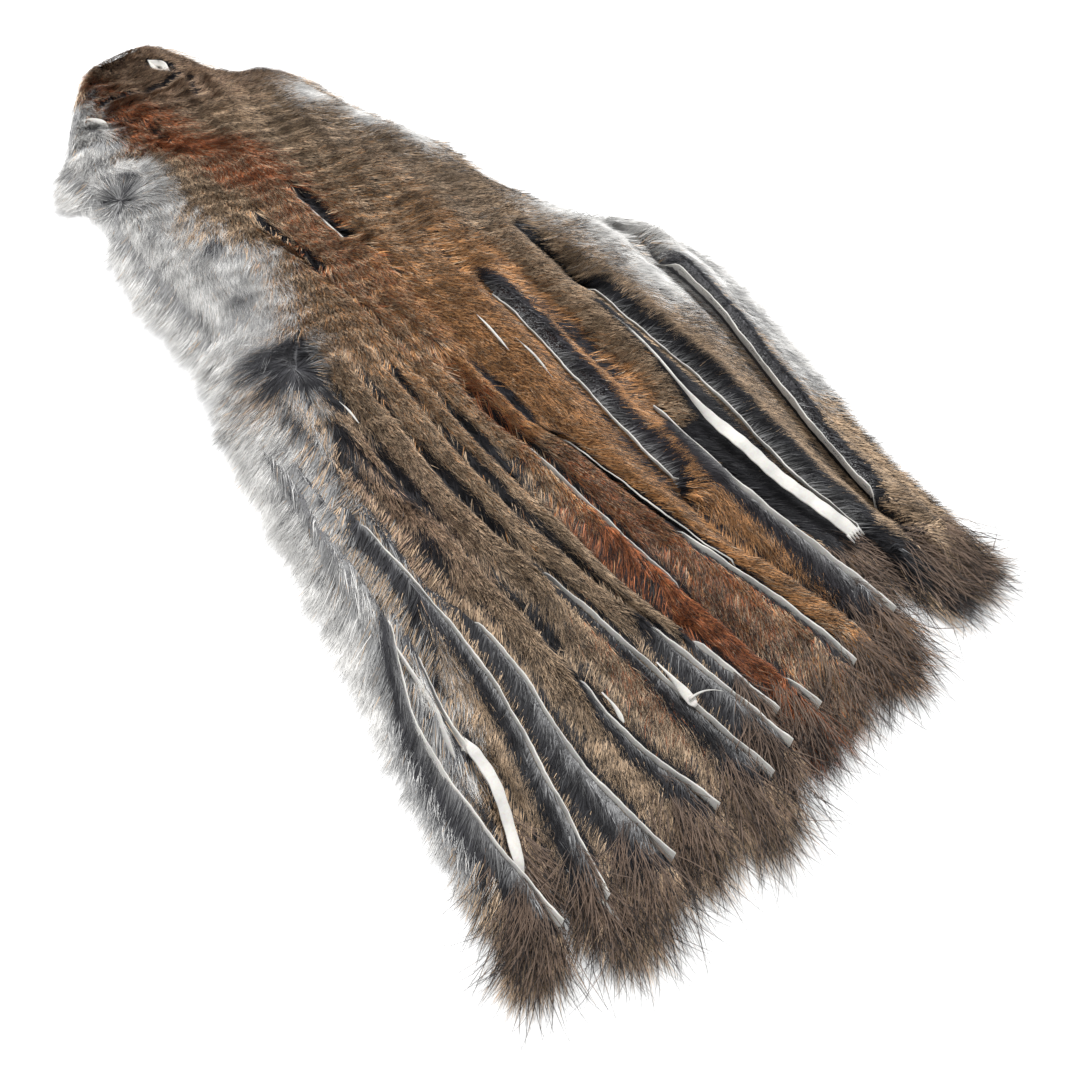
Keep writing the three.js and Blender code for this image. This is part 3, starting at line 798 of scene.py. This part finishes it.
def hair_weights(x, y):
    strip = strip_at(x, y)
    wave = ragged(x, y)
    white_edge = through(WHITE_EDGE["y"], WHITE_EDGE["x"], y)
    white = ease(white_edge + 1.2 * wave - x, -2.5, 3.5) * (1 - 0.5 * bump_at(x, y, -25, 8, 5, 5))
    white = white * (1 - 0.45 * ease(x - rim_left(y), 3, 9) * ease(y, -8, -30))
    for patch in WHITE_PATCHES:
        white = np.maximum(white, 1.15 * bump_at(x, y, *patch))
    fringe = ease(rim_right(y) - x, 9.0, 2.5) * ease(y, 26, 16) * (1 - ease(y, -40, -56))
    white = np.clip(np.maximum(white, fringe), 0, 1) * (1 - 0.75 * ease(y, -74, -94))
    spine = through(SPINE["y"], SPINE["x"], y)
    side = np.abs(x - spine)
    rust = ease(side, 7.5, 2.0) * ease(y, 40, 58) * (0.72 + 0.2 * np.sin(y * 0.5 + x * 0.4))
    rust = rust * (1 - 0.45 * ease(y, 80, 92))
    rust = np.maximum(rust, 0.35 * ease(side, 8, 2) * ease(y, -10, 30) * (y < 60))
    rust = np.maximum(rust, 0.9 * bump_at(x, y, 0.2, -16, 1.6, 13))
    rust = np.maximum(rust, np.where(strip == 8, 0.92 * ease(y, -34, -52), 0))
    beside = 0.42 * ease(y, -26, -40) * (1 - 0.5 * ease(y, -62, -90))
    rust = np.maximum(rust, np.where(strip == 9, beside, 0))
    rust = np.maximum(rust, 0.3 * bump_at(x, y, -13, -74, 3, 10))
    ochre = ease(x, -5, 4) * ease(30 - x, 2, 8) * ease(y, 62, 10)
    ochre = np.maximum(ochre, 0.55 * bump_at(x, y, -5, 10, 8, 34))
    ochre = np.where(strip >= 12, 0.15 * ochre, ochre) * (1 - 0.35 * ease(y, -64, -96))
    ochre = np.where((strip == 9) & (y < -26), 0.3 * ochre, ochre) * (1 - 0.4 * ease(y, -5, 40))
    brown = 0.75 * ease(y, 70, 84) * (1 - white)
    brown = np.maximum(brown, 0.9 * bump_at(x, y, -30, 79, 2.6, 3.0))
    white = white * (1 - 0.9 * bump_at(x, y, -30, 79, 2.6, 3.0))
    brown = np.maximum(brown, 0.9 * bump_at(x, y, -22, -26, 5, 20))
    brown = np.maximum(brown, 0.5 * bump_at(x, y, -25, 8, 5, 6))
    brown = np.maximum(brown, 0.4 * bump_at(x, y, -15, 20, 5, 18))
    brown = np.maximum(brown, 0.2 * ease(y, -84, -100))
    # Brown hairs on strip 9, which lies low under its neighbour's edge: partly its own brown, partly
    # painted shade
    beside = 0.8 * ease(y, -24, -34) * (1 - ease(y, -60, -80))
    brown = np.maximum(brown, np.where(strip == 9, beside, 0))
    rest = 1 - white
    rust = rust * rest
    ochre = ochre * (rest - rust) * 0.85
    brown = brown * (rest - rust - ochre)
    agouti = np.clip(1 - white - rust - ochre - brown, 0.02, 1)
    return {"white": white, "agouti": agouti, "brown": brown, "ochre": ochre, "rust": rust}


print({k: float(v[0].round(2)) for k, v in hair_weights(np.array((0.0,)), np.array((0.0,))).items()})

# %% [markdown]
# ## Slits and hollows
# Above the strips the skin has short slits that have gaped open a little, with a thread of leather
# on one side, and the fur dips into a few hollows. Each is a short line with a width and a depth.

# %% Slits
SLITS = (
    {"line": ((-6.7, 42.6), (-5.6, 31), (-4.9, 22)), "width": 1.3, "depth": 2.8, "dark": 1.0},
    {"line": ((-4.9, 22), (-4.0, 10), (-3.0, -4)), "width": 0.7, "depth": 1.6, "dark": 0.6},
    {"line": ((2.9, 43.5), (3.6, 37.5), (4.2, 27.5)), "width": 1.7, "depth": 3.0, "dark": 1.0},
    {"line": ((15.9, 39.6), (16.7, 31)), "width": 0.8, "depth": 1.6, "dark": 0.7},
    {"line": ((5.0, 22), (5.9, 12)), "width": 0.8, "depth": 1.6, "dark": 0.7},
    {"line": ((16.0, 19), (15.8, 8)), "width": 1.2, "depth": 2.4, "dark": 0.9},
    {"line": ((-5.9, -1), (-6.2, -6)), "width": 0.8, "depth": 1.4, "dark": 0.7},
    {"line": ((-24, -10), (-23.6, -17), (-22.6, -26)), "width": 1.2, "depth": 2.0, "dark": 0.8},
    {"line": ((-18.6, 9.5), (-17.2, 6)), "width": 2.2, "depth": 3.2, "dark": 0.9},
    {"line": ((1.0, -4), (-0.2, -14), (0.7, -27)), "width": 1.3, "depth": 2.6, "dark": 0.0},
    {"line": ((30.6, 11), (31.2, 3), (30.4, -6)), "width": 2.2, "depth": 1.7, "dark": 0.8},
    {"line": ((6.4, 88.2), (5.2, 84), (4.0, 80)), "width": 1.1, "depth": 2.4, "dark": 1.0},
    {"line": ((-12, 91.5), (-4, 90), (5, 90)), "width": 1.2, "depth": 1.8, "dark": 0.8},
    {"line": ((-16, 90), (-9, 80), (-8, 70)), "width": 1.4, "depth": 1.6, "dark": 0.5},
    {"line": ((-27, 86), (-22, 80), (-16, 77)), "width": 1.3, "depth": 1.6, "dark": 0.5},
)


def line_distance(x, y, line):
    nearest = np.full(len(x), 1e9)
    for (ax, ay), (bx, by) in zip(line[:-1], line[1:]):
        dx, dy = bx - ax, by - ay
        t = np.clip(((x - ax) * dx + (y - ay) * dy) / (dx * dx + dy * dy), 0, 1)
        nearest = np.minimum(nearest, np.hypot(x - ax - t * dx, y - ay - t * dy))
    return nearest


def slit_facts(x, y):
    """How much the fur dips at a point, and how much of the dark roots shows there."""
    dip, dark = np.zeros(len(x)), np.zeros(len(x))
    for slit in SLITS:
        near = np.exp(-((line_distance(x, y, slit["line"]) / slit["width"]) ** 2))
        dip = np.maximum(dip, slit["depth"] * near)
        dark = np.maximum(dark, slit["dark"] * near)
    return dip, dark


def furrow_share(x, y, f):
    """The furrow over a cut that is still closed: 1 on the cut, 0 a few millimetres away."""
    share = np.zeros(len(x))
    for side in ("left", "right"):
        strength = ease(y, 22, -12) * (0.84 + 0.16 * np.sin(y * 0.17 + 1.3 * f[side]))
        near = np.exp(-((np.abs(x - f[side]) / 1.8) ** 2)) * (1 - f["stands_" + side])
        share = np.maximum(share, near * strength * (1 - f["open_" + side]))
    return share


def top_of_fur(x, y, strip, facts=None):
    f = facts or strip_facts(strip, y)
    dip, _ = slit_facts(x, y)
    return np.maximum(fur_height(x, y, strip, f) - dip - 2.1 * furrow_share(x, y, f), 0.25)


print(len(SLITS), "slits and hollows")

# %% [markdown]
# ## The underfur
# Below the hairs that show there is a dense woolly layer. It hides the leather, and it is what the
# eye meets in the dark gaps. It is a closed form just under the fur's surface, one tube for the
# body and one for each strip, with the darker colour of hair roots.

# %% Underfur rings
WOOL_DEPTH = 1.5


def wool_rings(k, y, left, right, columns):
    t = np.linspace(0, 1, columns)
    x = left[:, None] + (right - left)[:, None] * t[None, :]
    rows = np.repeat(y[:, None], columns, 1)
    strip = np.full(x.size, k) if k is not None else strip_at(x.ravel(), rows.ravel())
    z = top_of_fur(x.ravel(), rows.ravel(), strip).reshape(x.shape)
    z = np.maximum(z - WOOL_DEPTH * np.clip(z / 3.5, 0.2, 1), 0.2)
    top = np.stack((x, rows, z), 2)
    low = np.stack((x, rows, np.full_like(x, 0.08)), 2)[:, ::-1]
    return np.concatenate((top, low), 1)


def strip_wool(k):
    y = np.arange(20.5, ENDS[k] - 2.5, -1.4)
    f = strip_facts(np.full(len(y), k), y)
    left = f["left"] + 0.25 * f["open_left"] + 0.75 * f["stands_left"]
    right = f["right"] - 0.25 * f["open_right"] - 0.75 * f["stands_right"]
    return wool_rings(k, y, left, np.maximum(right, left + 0.4), 8)


body_y = np.arange(105.5, 19.5, -1.5)
wool_tubes = [wool_rings(None, body_y, rim_left(body_y) - 0.8, rim_right(body_y) + 0.8, 64)]
wool_tubes += [strip_wool(k) for k in range(len(STRIP_ENDS))]
underfur = tubes_object("underfur", wool_tubes)
print("underfur faces:", len(underfur.data.polygons))

# %% Underfur material


def wool_map(piece):
    """UV map: u is how pale the wool is, v is how warm it is."""
    mesh = piece.data
    co = np.zeros(len(mesh.vertices) * 3, np.float32)
    mesh.vertices.foreach_get("co", co)
    x, y = co[0::3] / MM, co[1::3] / MM
    weights = hair_weights(x, y)
    corner = np.zeros(len(mesh.loops), np.int32)
    mesh.loops.foreach_get("vertex_index", corner)
    pale = np.clip(weights["white"], 0.02, 0.98)
    warm = np.clip(weights["rust"] + 0.6 * weights["ochre"], 0.02, 0.98)
    flat = np.stack((pale[corner], warm[corner]), 1).astype(np.float32)
    for name in ("Hair", "OFBake"):
        mesh.uv_layers.new(name=name).data.foreach_set("uv", flat.ravel())


def wool_finish():
    material, tree, shader = new_material("underfur_wool", 0.95, 0.1)
    uv = node(tree, "ShaderNodeUVMap", uv_map="Hair")
    parts = node(tree, "ShaderNodeSeparateXYZ", {"Vector": uv.outputs["UV"]}).outputs
    warm = blend(tree, parts["Y"], linear(0.17, 0.16, 0.17), linear(0.20, 0.13, 0.11))
    pale = blend(tree, parts["X"], warm, linear(0.42, 0.42, 0.43))
    tree.links.new(pale, shader.inputs["Base Color"])
    return material


wool_map(underfur)
underfur.data.materials.append(wool_finish())
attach(underfur, "root")
print("underfur is ready")

# %% [markdown]
# ## Which way the hair lies
# Fur lies tailwards, turned outward on both sides of the spine, and more so near the rim. Beside a
# standing leather edge it falls away from that edge, and at the end of a strip it fans out. The
# angle is measured from straight tailwards, positive towards the right.

# %% Direction of the hair


def lie_angle(x, y, strip, f):
    spine = through(SPINE["y"], SPINE["x"], y)
    angle = 34 * np.clip((x - spine) / 13, -1, 1) - 24 * ease(-20 - x, 0, 9)
    angle = angle + 6 * np.sin(y * 0.21 + x * 0.3)
    angle = angle * (1 - 0.75 * ease(y, 10, -10) * ease(x, -25, -20) * ease(x, 14, 10))
    in_strips = ease(y, 5, -30)
    strip_angle = -31 * f["stands_right"] * (1 - f["stands_left"]) + 33 * f["stands_left"]
    known = np.maximum(f["stands_right"], f["stands_left"])
    angle = mix(angle, strip_angle, in_strips * known * 0.9)
    near_right = f["stands_right"] * np.clip(1 - (f["right"] - x) / f["roots_right"], 0, 1)
    near_left = f["stands_left"] * np.clip(1 - (x - f["left"]) / f["roots_left"], 0, 1)
    angle = angle - 22 * near_right + 22 * near_left
    left_rim = ease(x - rim_left(y), 9, 0)
    right_rim = ease(rim_right(y) - x, 9, 0)
    angle = mix(angle, -52.0, left_rim * (strip == 0))
    angle = mix(angle, 52.0, right_rim * (strip == len(CUTS)))
    nose = ease(y, 97, 108)
    angle = mix(angle, 80 * np.clip(x / 9, -1, 1), nose)
    end_angle = np.degrees(np.arctan2(SWEEPS, REACHES))[strip]
    width = np.maximum(f["right"] - f["left"], 1)
    fan = 10 * (np.clip((x - f["left"]) / width, 0, 1) - 0.5)
    angle = mix(angle, end_angle + fan, ease(y, ENDS[strip] + 12, ENDS[strip] + 1) * 0.85)
    radial = np.degrees(np.arctan2(x - WHORL["x"], -(y - WHORL["y"])))
    r = np.hypot(x - WHORL["x"], y - WHORL["y"])
    angle = mix(angle, radial, np.exp(-((r / WHORL["size"]) ** 2)) * (r < 12))
    radial = np.degrees(np.arctan2(x - POCKET["x"], -(y - POCKET["y"])))
    r = np.hypot(x - POCKET["x"], y - POCKET["y"])
    turn = (radial - angle + 180) % 360 - 180
    angle = angle + turn * 0.6 * np.exp(-((r / POCKET["size"]) ** 2))
    return np.radians(angle)


# The middle of the dark band that runs on past the last two standing edges
SLATE_END = ((31.5, -74), (34, -86), (36.5, -98))


def root_depth(x, y, f):
    """How far up the hair the surface is at a point, in millimetres: low beside a cut edge."""
    right = mix(9.0, 3.4 * (f["right"] - x) / f["roots_right"], f["stands_right"])
    left = mix(9.0, 3.4 * (x - f["left"]) / f["roots_left"], f["stands_left"])
    _, dark = slit_facts(x, y)
    # Along a cut that is still closed the roots show in a narrow dark line: partly the parted fur's own
    # roots, partly painted shade of the furrow
    dark = np.maximum(dark, 0.86 * furrow_share(x, y, f) ** 1.5)
    for side in ("left", "right"):
        low_side = np.exp(-((np.abs(x - f[side]) / 0.9) ** 2)) * (1 - f["stands_" + side])
        dark = np.maximum(dark, 0.8 * low_side * f["open_" + side])
    depth = np.minimum(np.minimum(np.maximum(right, 0), np.maximum(left, 0)), 6.0)
    depth = np.minimum(depth, mix(6.0, 1.6, dark))
    # The grey patches show the roots: partly real, and round the pocket and down the left strips partly
    # painted shade of the hollows
    for cx, cy, rx, ry, amount in GRAY_PATCHES:
        depth = np.minimum(depth, np.maximum(6.0 - amount * 3.6 * bump_at(x, y, cx, cy, rx, ry), 1.9))
    r = np.hypot(x - WHORL["x"], y - WHORL["y"])
    around = np.arctan2(y - WHORL["y"], x - WHORL["x"])
    arcs = 0.74 + 0.26 * np.sin(3 * around + 0.8 + 0.5 * np.sin(2 * around))
    depth = np.minimum(depth, np.maximum(6.0 - 4.2 * arcs * np.exp(-(((r - 3.4) / 2.1) ** 2)), 2.9))
    ribbon = BARE_RIBBONS[0]["path"]
    bare_x = through([p[1] for p in ribbon], [p[0] for p in ribbon], y)
    beside = ((x > bare_x) & (x < f["right"]) & (y < -12)) | ((x > bare_x - 4) & (y < -42))
    here = beside & (x < f["right"]) & (x > 23) & (x < 32.5) & (y > -86)
    here = here & (f["left"] < 27) & (f["right"] > 28)
    depth = np.where(here, np.minimum(depth, 2.2), depth)
    depth = mix(depth, 6.0, ease(y, f["end"] + 3, f["end"] - 3))
    swirl = line_distance(x, y, SLATE_END) / 2.8
    return np.minimum(depth, 6.0 - 4.0 * np.exp(-(swirl**2)))


print("direction of the fur is set")

# %% [markdown]
# ## Growing the hairs
# A hair of the body is one narrow three-sided face, rooted in the underfur and rising to the
# surface. At the strips' ends and at the rim, where hairs are seen from the side, each is a blade
# bent at its middle. Hair curves would be lighter to edit, but a game or a simulator needs a mesh.
# The hairs are drawn from a seeded random number generator, so the same fur grows each time, and
# neighbours lean together a little, which makes the small locks.

# %% A blade for each hair
SEED = 41
# Roots that are tried over the whole square, of which those off the skin are dropped
BODY_ROOTS, END_ROOTS = 1100000, 880000
ROOT_X, ROOT_Y = (-56, 56), (-100, 107)
FAR = 99  # past the skin on either side
BARE_EDGE = 0.34  # no hair grows this close to a standing edge
TUFT_GAPS = (-41.5, -29.2, -17.6, -3.2, 13.6, 26.2)  # the x of the gaps between tufts at the hips
HAIR_ORDER = ("white", "agouti", "brown", "ochre", "rust")
dice = np.random.default_rng(SEED)


def blades_object(name, points, widths, along, own, material):
    """points: hairs x knots x 3 in millimetres; along: hairs x knots; own: one number a hair."""
    count, knots = points.shape[:2]
    course = points[:, -1] - points[:, 0]
    side = np.stack((-course[:, 1], course[:, 0], np.zeros(count)), 1)
    side /= np.maximum(np.linalg.norm(side, axis=1), 1e-6)[:, None]
    tilt = dice.normal(0, 0.45, count)
    side = side * np.cos(tilt)[:, None]
    side[:, 2] = np.sin(tilt)
    taper = np.interp(np.linspace(0, 1, knots), (0, 0.5, 1), (0.75, 1.0, 0.0))[:-1]
    body = points[:, :-1]
    shift = side[:, None, :] * (widths[:, None] * taper[None, :] / 2)[:, :, None]
    pairs = np.stack((body - shift, body + shift), 2).reshape(count, -1, 3)
    vertices = np.concatenate((pairs, points[:, -1:]), 1)
    per = vertices.shape[1]
    quads = [(2 * i, 2 * i + 1, 2 * i + 3, 2 * i + 2) for i in range(knots - 2)]
    last = (per - 3, per - 2, per - 1)
    order = np.array([i for q in quads for i in q] + list(last))
    sizes = [4] * len(quads) + [3]
    corners = (np.arange(count)[:, None] * per + order[None, :]).ravel()
    mesh = bpy.data.meshes.new(name)
    mesh.vertices.add(count * per)
    mesh.vertices.foreach_set("co", (vertices * MM).astype(np.float32).ravel())
    mesh.loops.add(len(corners))
    mesh.loops.foreach_set("vertex_index", corners.astype(np.int32))
    starts = np.cumsum([0] + sizes[:-1])
    starts = (np.arange(count)[:, None] * sum(sizes) + starts[None, :]).ravel()
    mesh.polygons.add(len(starts))
    mesh.polygons.foreach_set("loop_start", starts.astype(np.int32))
    vertex_along = np.concatenate((np.repeat(along[:, :-1], 2, 1), along[:, -1:]), 1)
    v = np.clip(vertex_along / HAIR_SPAN, 0.01, 0.99)[:, order]
    u = np.repeat(own[:, None], len(order), 1)
    flat = np.stack((u, v), 2).astype(np.float32).ravel()
    mesh.update(calc_edges=True)
    for layer in ("Hair", "OFBake"):
        mesh.uv_layers.new(name=layer).data.foreach_set("uv", flat)
    mesh.materials.append(material)
    mesh.shade_smooth()
    piece = bpy.data.objects.new(name, mesh)
    bpy.context.scene.collection.objects.link(piece)
    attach(piece, "root")
    return piece


def scatter(count):
    """Roots of hairs, evenly over the skin, none in the eye or past the leather's ends."""
    x, y = dice.uniform(*ROOT_X, count), dice.uniform(*ROOT_Y, count)
    strip = strip_at(x, y)
    inside = (x > rim_left(y)) & (x < rim_right(y)) & (y > ENDS[strip]) & ~in_eye(x, y, 1.1)
    return x[inside], y[inside], strip[inside]


def walk(x, y, strip, f, angle, length):
    """A step from each root along the hair, kept inside its own strip where the cuts are open."""
    new_x, new_y = x + length * np.sin(angle), y - length * np.cos(angle)
    g = strip_facts(strip, new_y)
    kept = (new_y < -6) & (x > -19) & (x < 12) & (dice.random(len(x)) < 0.75)
    walls = []
    for side, sign, rim_strip in (("left", 1, 0), ("right", -1, len(CUTS))):
        free = (strip == rim_strip) | (new_y < ENDS[strip])
        gaping = g["open_" + side] > 0.3
        margin = np.where(gaping, 1.6 * g["stands_" + side] - 0.85, 0.1)
        walls.append(np.where(~free & (gaping | kept), g[side] + sign * margin, -FAR * sign))
    low, high = walls[0], np.maximum(walls[1], walls[0] + 0.1)
    return np.clip(new_x, low, high), new_y, g


def lock_of(x, y, pitch, stretch):
    """The x of the nearest of many random lock middles, and that lock's own number from 0 to 1."""
    count = int((ROOT_X[1] - ROOT_X[0]) * (ROOT_Y[1] - ROOT_Y[0]) / (pitch * pitch * stretch))
    seed_x, seed_y = dice.uniform(*ROOT_X, count), dice.uniform(*ROOT_Y, count) / stretch
    seeds = np.stack((seed_x, seed_y, np.zeros(count)), 1)
    tree = KDTree(count)
    for number, seed in enumerate(seeds.tolist()):
        tree.insert(seed, number)
    tree.balance()
    places = zip(x.tolist(), (y / stretch).tolist())
    nearest = np.array([tree.find((a, b, 0.0))[1] for a, b in places])
    return seeds[nearest, 0], dice.random(count)[nearest]


def grow(count, curved):
    """Hairs of the body as one face each, or bent hairs of two faces at ends and rims."""
    x, y, strip = scatter(count)
    near_end = ease(y, ENDS[strip] + 9, ENDS[strip] + 1)
    left_rim = ease(x - rim_left(y), 4, 0) * (strip == 0)
    rim = np.maximum(left_rim, ease(rim_right(y) - x, 4, 0) * (strip == len(CUTS)))
    keep = ((near_end > 0.05) | (rim > 0.3)) == curved
    x, y, strip, near_end, rim = (v[keep] for v in (x, y, strip, near_end, rim))
    f = strip_facts(strip, y)
    keep = f["stands_right"] * (f["right"] - x < BARE_EDGE) < 0.5
    keep &= f["stands_left"] * (x - f["left"] < BARE_EDGE) < 0.5
    x, y, strip, near_end, rim = (v[keep] for v in (x, y, strip, near_end, rim))
    f = {k: v[keep] for k, v in f.items()}
    wide, tone = lock_of(x, y, 1.1, 2.2)
    angle = lie_angle(x, y, strip, f) + dice.normal(0, 0.16, len(x)) * (1 + 0.5 * near_end)
    angle = angle + 0.5 * (tone - 0.5)
    length = dice.uniform(3.2, 5.6, len(x))
    length *= 1 + near_end * dice.uniform(0.5, 1.6, len(x)) + 0.15 * rim
    length *= 1 - 0.4 * ease(y, 70, 92)
    pale = ease(through(WHITE_EDGE["y"], WHITE_EDGE["x"], y) - x, -1, 2)
    length *= mix(1.0, (REACHES / 10)[strip], near_end) * (1 + 0.6 * pale * (1 - near_end))
    for gap in TUFT_GAPS:
        length *= 1 - 0.5 * near_end * np.exp(-(((x - gap) / 2.3) ** 2))
    length *= 1 - 0.45 * bump_at(x, y, WHORL["x"], WHORL["y"], 6, 6)
    own_root = root_depth(x, y, f)
    lock = mix(0.26, 0.6, near_end) * ease(own_root, 2.0, 4.5)
    points = [np.stack((x, y, np.maximum(top_of_fur(x, y, strip, f) - 1.3, 0.15)), 1)]
    own_depth = [own_root]
    rise = dice.uniform(0.0, 0.55, len(x))
    for share in (0.5, 1.0) if curved else (1.0,):
        px, py, g = walk(x + (wide - x) * lock * share, y, strip, f, angle, length * share)
        pz = top_of_fur(px, py, strip, g)
        lift = mix(0.05 + rise * share, 0.1, ease(py, ENDS[strip], ENDS[strip] - 8))
        points.append(np.stack((px, py, np.maximum(pz + lift, 0.15)), 1))
        own_depth.append(root_depth(px, py, g))
    points = np.stack(points, 1)
    depth = np.stack(own_depth, 1) + dice.normal(0, 0.45, len(x))[:, None]
    shift = dice.normal(0, 0.8, len(x)) + 0.8 * (tone - 0.5) - 0.8 * ease(y, 66, 84) * (x > -14)
    # Painted light and shade, partly the pale fur's own colour: towards the rim the pale hairs end more
    # in their white tips, as where the rim is lit from behind, and inside the flank they turn greyer in
    # waving streaks of painted shade
    flank = (pale > 0.5) | (x > rim_right(y) - 8)
    from_rim = np.minimum(x - rim_left(y), rim_right(y) - x)
    streaks = np.sin(1.3 * x + 0.5 * y + 2.2 * np.sin(0.23 * y - 0.3 * x))
    shift += flank * (1.3 * ease(from_rim, 10, 2) - 0.7 + 0.5 * streaks)
    # Past x 34 the pale hairs show almost only their white tips, partly painted light of the fringe lit
    # from behind; below y 0 on the left they are a little paler
    white = np.clip(hair_weights(x, y)["white"], 0, 1)
    shift += white * (3.6 * ease(x, 34, 40) + 0.9 * ease(y, 8, -8) * (x < 0))
    usual, at_end = ((4.0, 6.0, 8.4), (4.2, 5.0, 6.7)) if curved else ((3.8, 8.6), (3.8, 8.6))
    banded = mix(np.array(usual), np.array(at_end), near_end[:, None]) + shift[:, None]
    along = mix(np.clip(depth * 0.8, 0.3, 9), banded, ease(depth, 3.0, 5.2))
    own = dice.normal(0.5, 0.26, len(x)) + 0.2 * (tone - 0.5)
    middle = (x < 14) * (x > -26)
    own -= 0.2 * ease(y, 12, 30) * ease(x, 6, 14) + 0.12 * ease(y, -34, -48) * middle
    own += 0.2 * bump_at(x, y, -10, 52, 7, 10)
    own = np.clip(own, 0.02, 0.98)
    clear = ~in_eye(points[:, -1, 0], points[:, -1, 1], 1.0)
    _, tip_dark = slit_facts(points[:, -1, 0], points[:, -1, 1])
    clear &= dice.random(len(x)) > 0.85 * ease(tip_dark, 0.35, 0.7)
    return x[clear], y[clear], points[clear], along[clear], own[clear]


def chosen_kinds(x, y):
    """A kind of hair for each root, drawn by the weights of the place."""
    weights = hair_weights(x, y)
    chances = np.cumsum(np.stack([weights[k] for k in HAIR_ORDER], 1), 1)
    chances /= chances[:, -1:]
    return (dice.random(len(x))[:, None] > chances).sum(1)


share = 1.0
body_fur = grow(int(BODY_ROOTS * share), curved=False)
end_fur = grow(int(END_ROOTS * share), curved=True)
print(len(body_fur[0]), "hairs on the body and", len(end_fur[0]), "at ends and rims")

# %% Hairs as pieces
# How many hairs a piece holds at most, and how wide they are from the thinnest to the thickest
BODY_PIECE, BODY_WIDTH = 190000, (0.17, 0.29)
END_PIECE, END_WIDTH = 64000, (0.08, 0.14)
GUARD_WIDTH, WISP_WIDTH = (0.07, 0.13), (0.06, 0.11)
WHITE_THINNER = 0.75


def add_fur(fur, label, per_piece, width):
    x, y, points, along, own = fur
    choice = chosen_kinds(x, y)
    for i, kind in enumerate(HAIR_ORDER):
        chosen = np.flatnonzero(choice == i)
        for part in range(math.ceil(len(chosen) / per_piece)):
            some = chosen[part * per_piece : (part + 1) * per_piece]
            widths = dice.uniform(*width, len(some)) * (WHITE_THINNER if kind == "white" else 1.0)
            name = f"{label}_{kind}_{part + 1}"
            hairs = (points[some], widths, along[some], own[some])
            blades_object(name, *hairs, HAIR_MATERIALS[kind])


add_fur(body_fur, "fur", BODY_PIECE, BODY_WIDTH)
add_fur(end_fur, "ends", END_PIECE, END_WIDTH)

# %% [markdown]
# ## Guard hairs
# Longer, thinner, darker hairs stand out past the ends of the strips and here and there at the
# rim. There are few of them, but they make the fringe at the hips look soft and uneven.

# %% Guard hairs
GUARD_HAIRS, WISPS = 3600, 9000


def guard_hairs(count):
    strip = dice.integers(0, len(STRIP_ENDS), count)
    y = ENDS[strip] + dice.uniform(-1, 9, count)
    f = strip_facts(strip, y)
    x = mix(f["left"], f["right"], dice.uniform(0.05, 0.95, count))
    angle = np.arctan2(SWEEPS, REACHES)[strip] + dice.normal(0, 0.30, count)
    length = dice.uniform(6, 15, count) * (REACHES / 10)[strip] + 3
    bend = dice.normal(0, 0.34, count)
    start_z = np.maximum(top_of_fur(x, y, strip, f) - 0.8, 0.3)
    knots = []
    for share in np.linspace(0, 1, 5):
        turn = angle + bend * share
        px, py = x + length * share * np.sin(turn), y - length * share * np.cos(turn)
        lift = 0.9 * math.sin(share * math.pi) * dice.uniform(0.6, 1.4, count)
        pz = start_z * (1 - ease(np.full(count, share), 0.15, 1.0)) + lift + 0.12
        knots.append(np.stack((px, py, pz), 1))
    return np.stack(knots, 1)


long_hairs = guard_hairs(GUARD_HAIRS)
guard_along = np.repeat(np.linspace(1.5, 8.5, 5)[None, :], len(long_hairs), 0)
guard_own = dice.uniform(0.1, 0.9, len(long_hairs))


def rim_wisps(count):
    """Thin pale hairs that stand out past the soft rim of the flanks."""
    y = dice.uniform(-88, 104, count)
    left = dice.random(count) < 0.6
    from_left = rim_left(y) + dice.uniform(0, 2.5, count)
    x = np.where(left, from_left, rim_right(y) - dice.uniform(0, 2.5, count))
    angle = np.where(left, -1, 1) * np.radians(dice.uniform(15, 75, count))
    length = dice.uniform(4.5, 7.5, count)
    z = dice.uniform(0.3, 2.2, count)
    knots = []
    for share in np.linspace(0, 1, 4):
        turn = angle * (1 - 0.35 * share)
        px, py = x + length * share * np.sin(turn), y - length * share * np.cos(turn)
        pz = z * (1 - 0.8 * share) + 0.5 * math.sin(share * math.pi) + 0.1
        knots.append(np.stack((px, py, pz), 1))
    return np.stack(knots, 1), np.clip(hair_weights(x, y)["white"], 0, 1)


wisp_points, paleness = rim_wisps(WISPS)
for kind, some in (("white", paleness > 0.5), ("agouti", paleness <= 0.5)):
    number = int(some.sum())
    widths = dice.uniform(*WISP_WIDTH, number)
    own = dice.uniform(0.2, 0.9, number)
    along = np.repeat(np.linspace(5.0, 8.6, 4)[None, :], number, 0)
    hairs = (wisp_points[some], widths, along, own)
    blades_object("wisps_" + kind, *hairs, HAIR_MATERIALS[kind])
widths = dice.uniform(*GUARD_WIDTH, len(long_hairs))
hairs = (long_hairs, widths, guard_along, guard_own)
blades_object("guard_hairs", *hairs, HAIR_MATERIALS["guard"])
print(len(long_hairs), "guard hairs")

# %% [markdown]
# ## The table
# The skin lies on a plain white table top. The floor is not part of the object.

# %% Floor
reach = 3.0
corners = [(-reach, -reach, 0), (reach, -reach, 0), (reach, reach, 0), (-reach, reach, 0)]
floor_mesh = bpy.data.meshes.new("table_top")
floor_mesh.from_pydata(corners, [], [(0, 1, 2, 3)])
table_top = bpy.data.objects.new("table_top", floor_mesh)
bpy.context.scene.collection.objects.link(table_top)
paint, tree, shader = new_material("table_white", 0.9, 0.1)
shader.inputs["Base Color"].default_value = (0.88, 0.88, 0.88, 1.0)
floor_mesh.materials.append(paint)
print("the table top is", 2 * reach, "m wide")
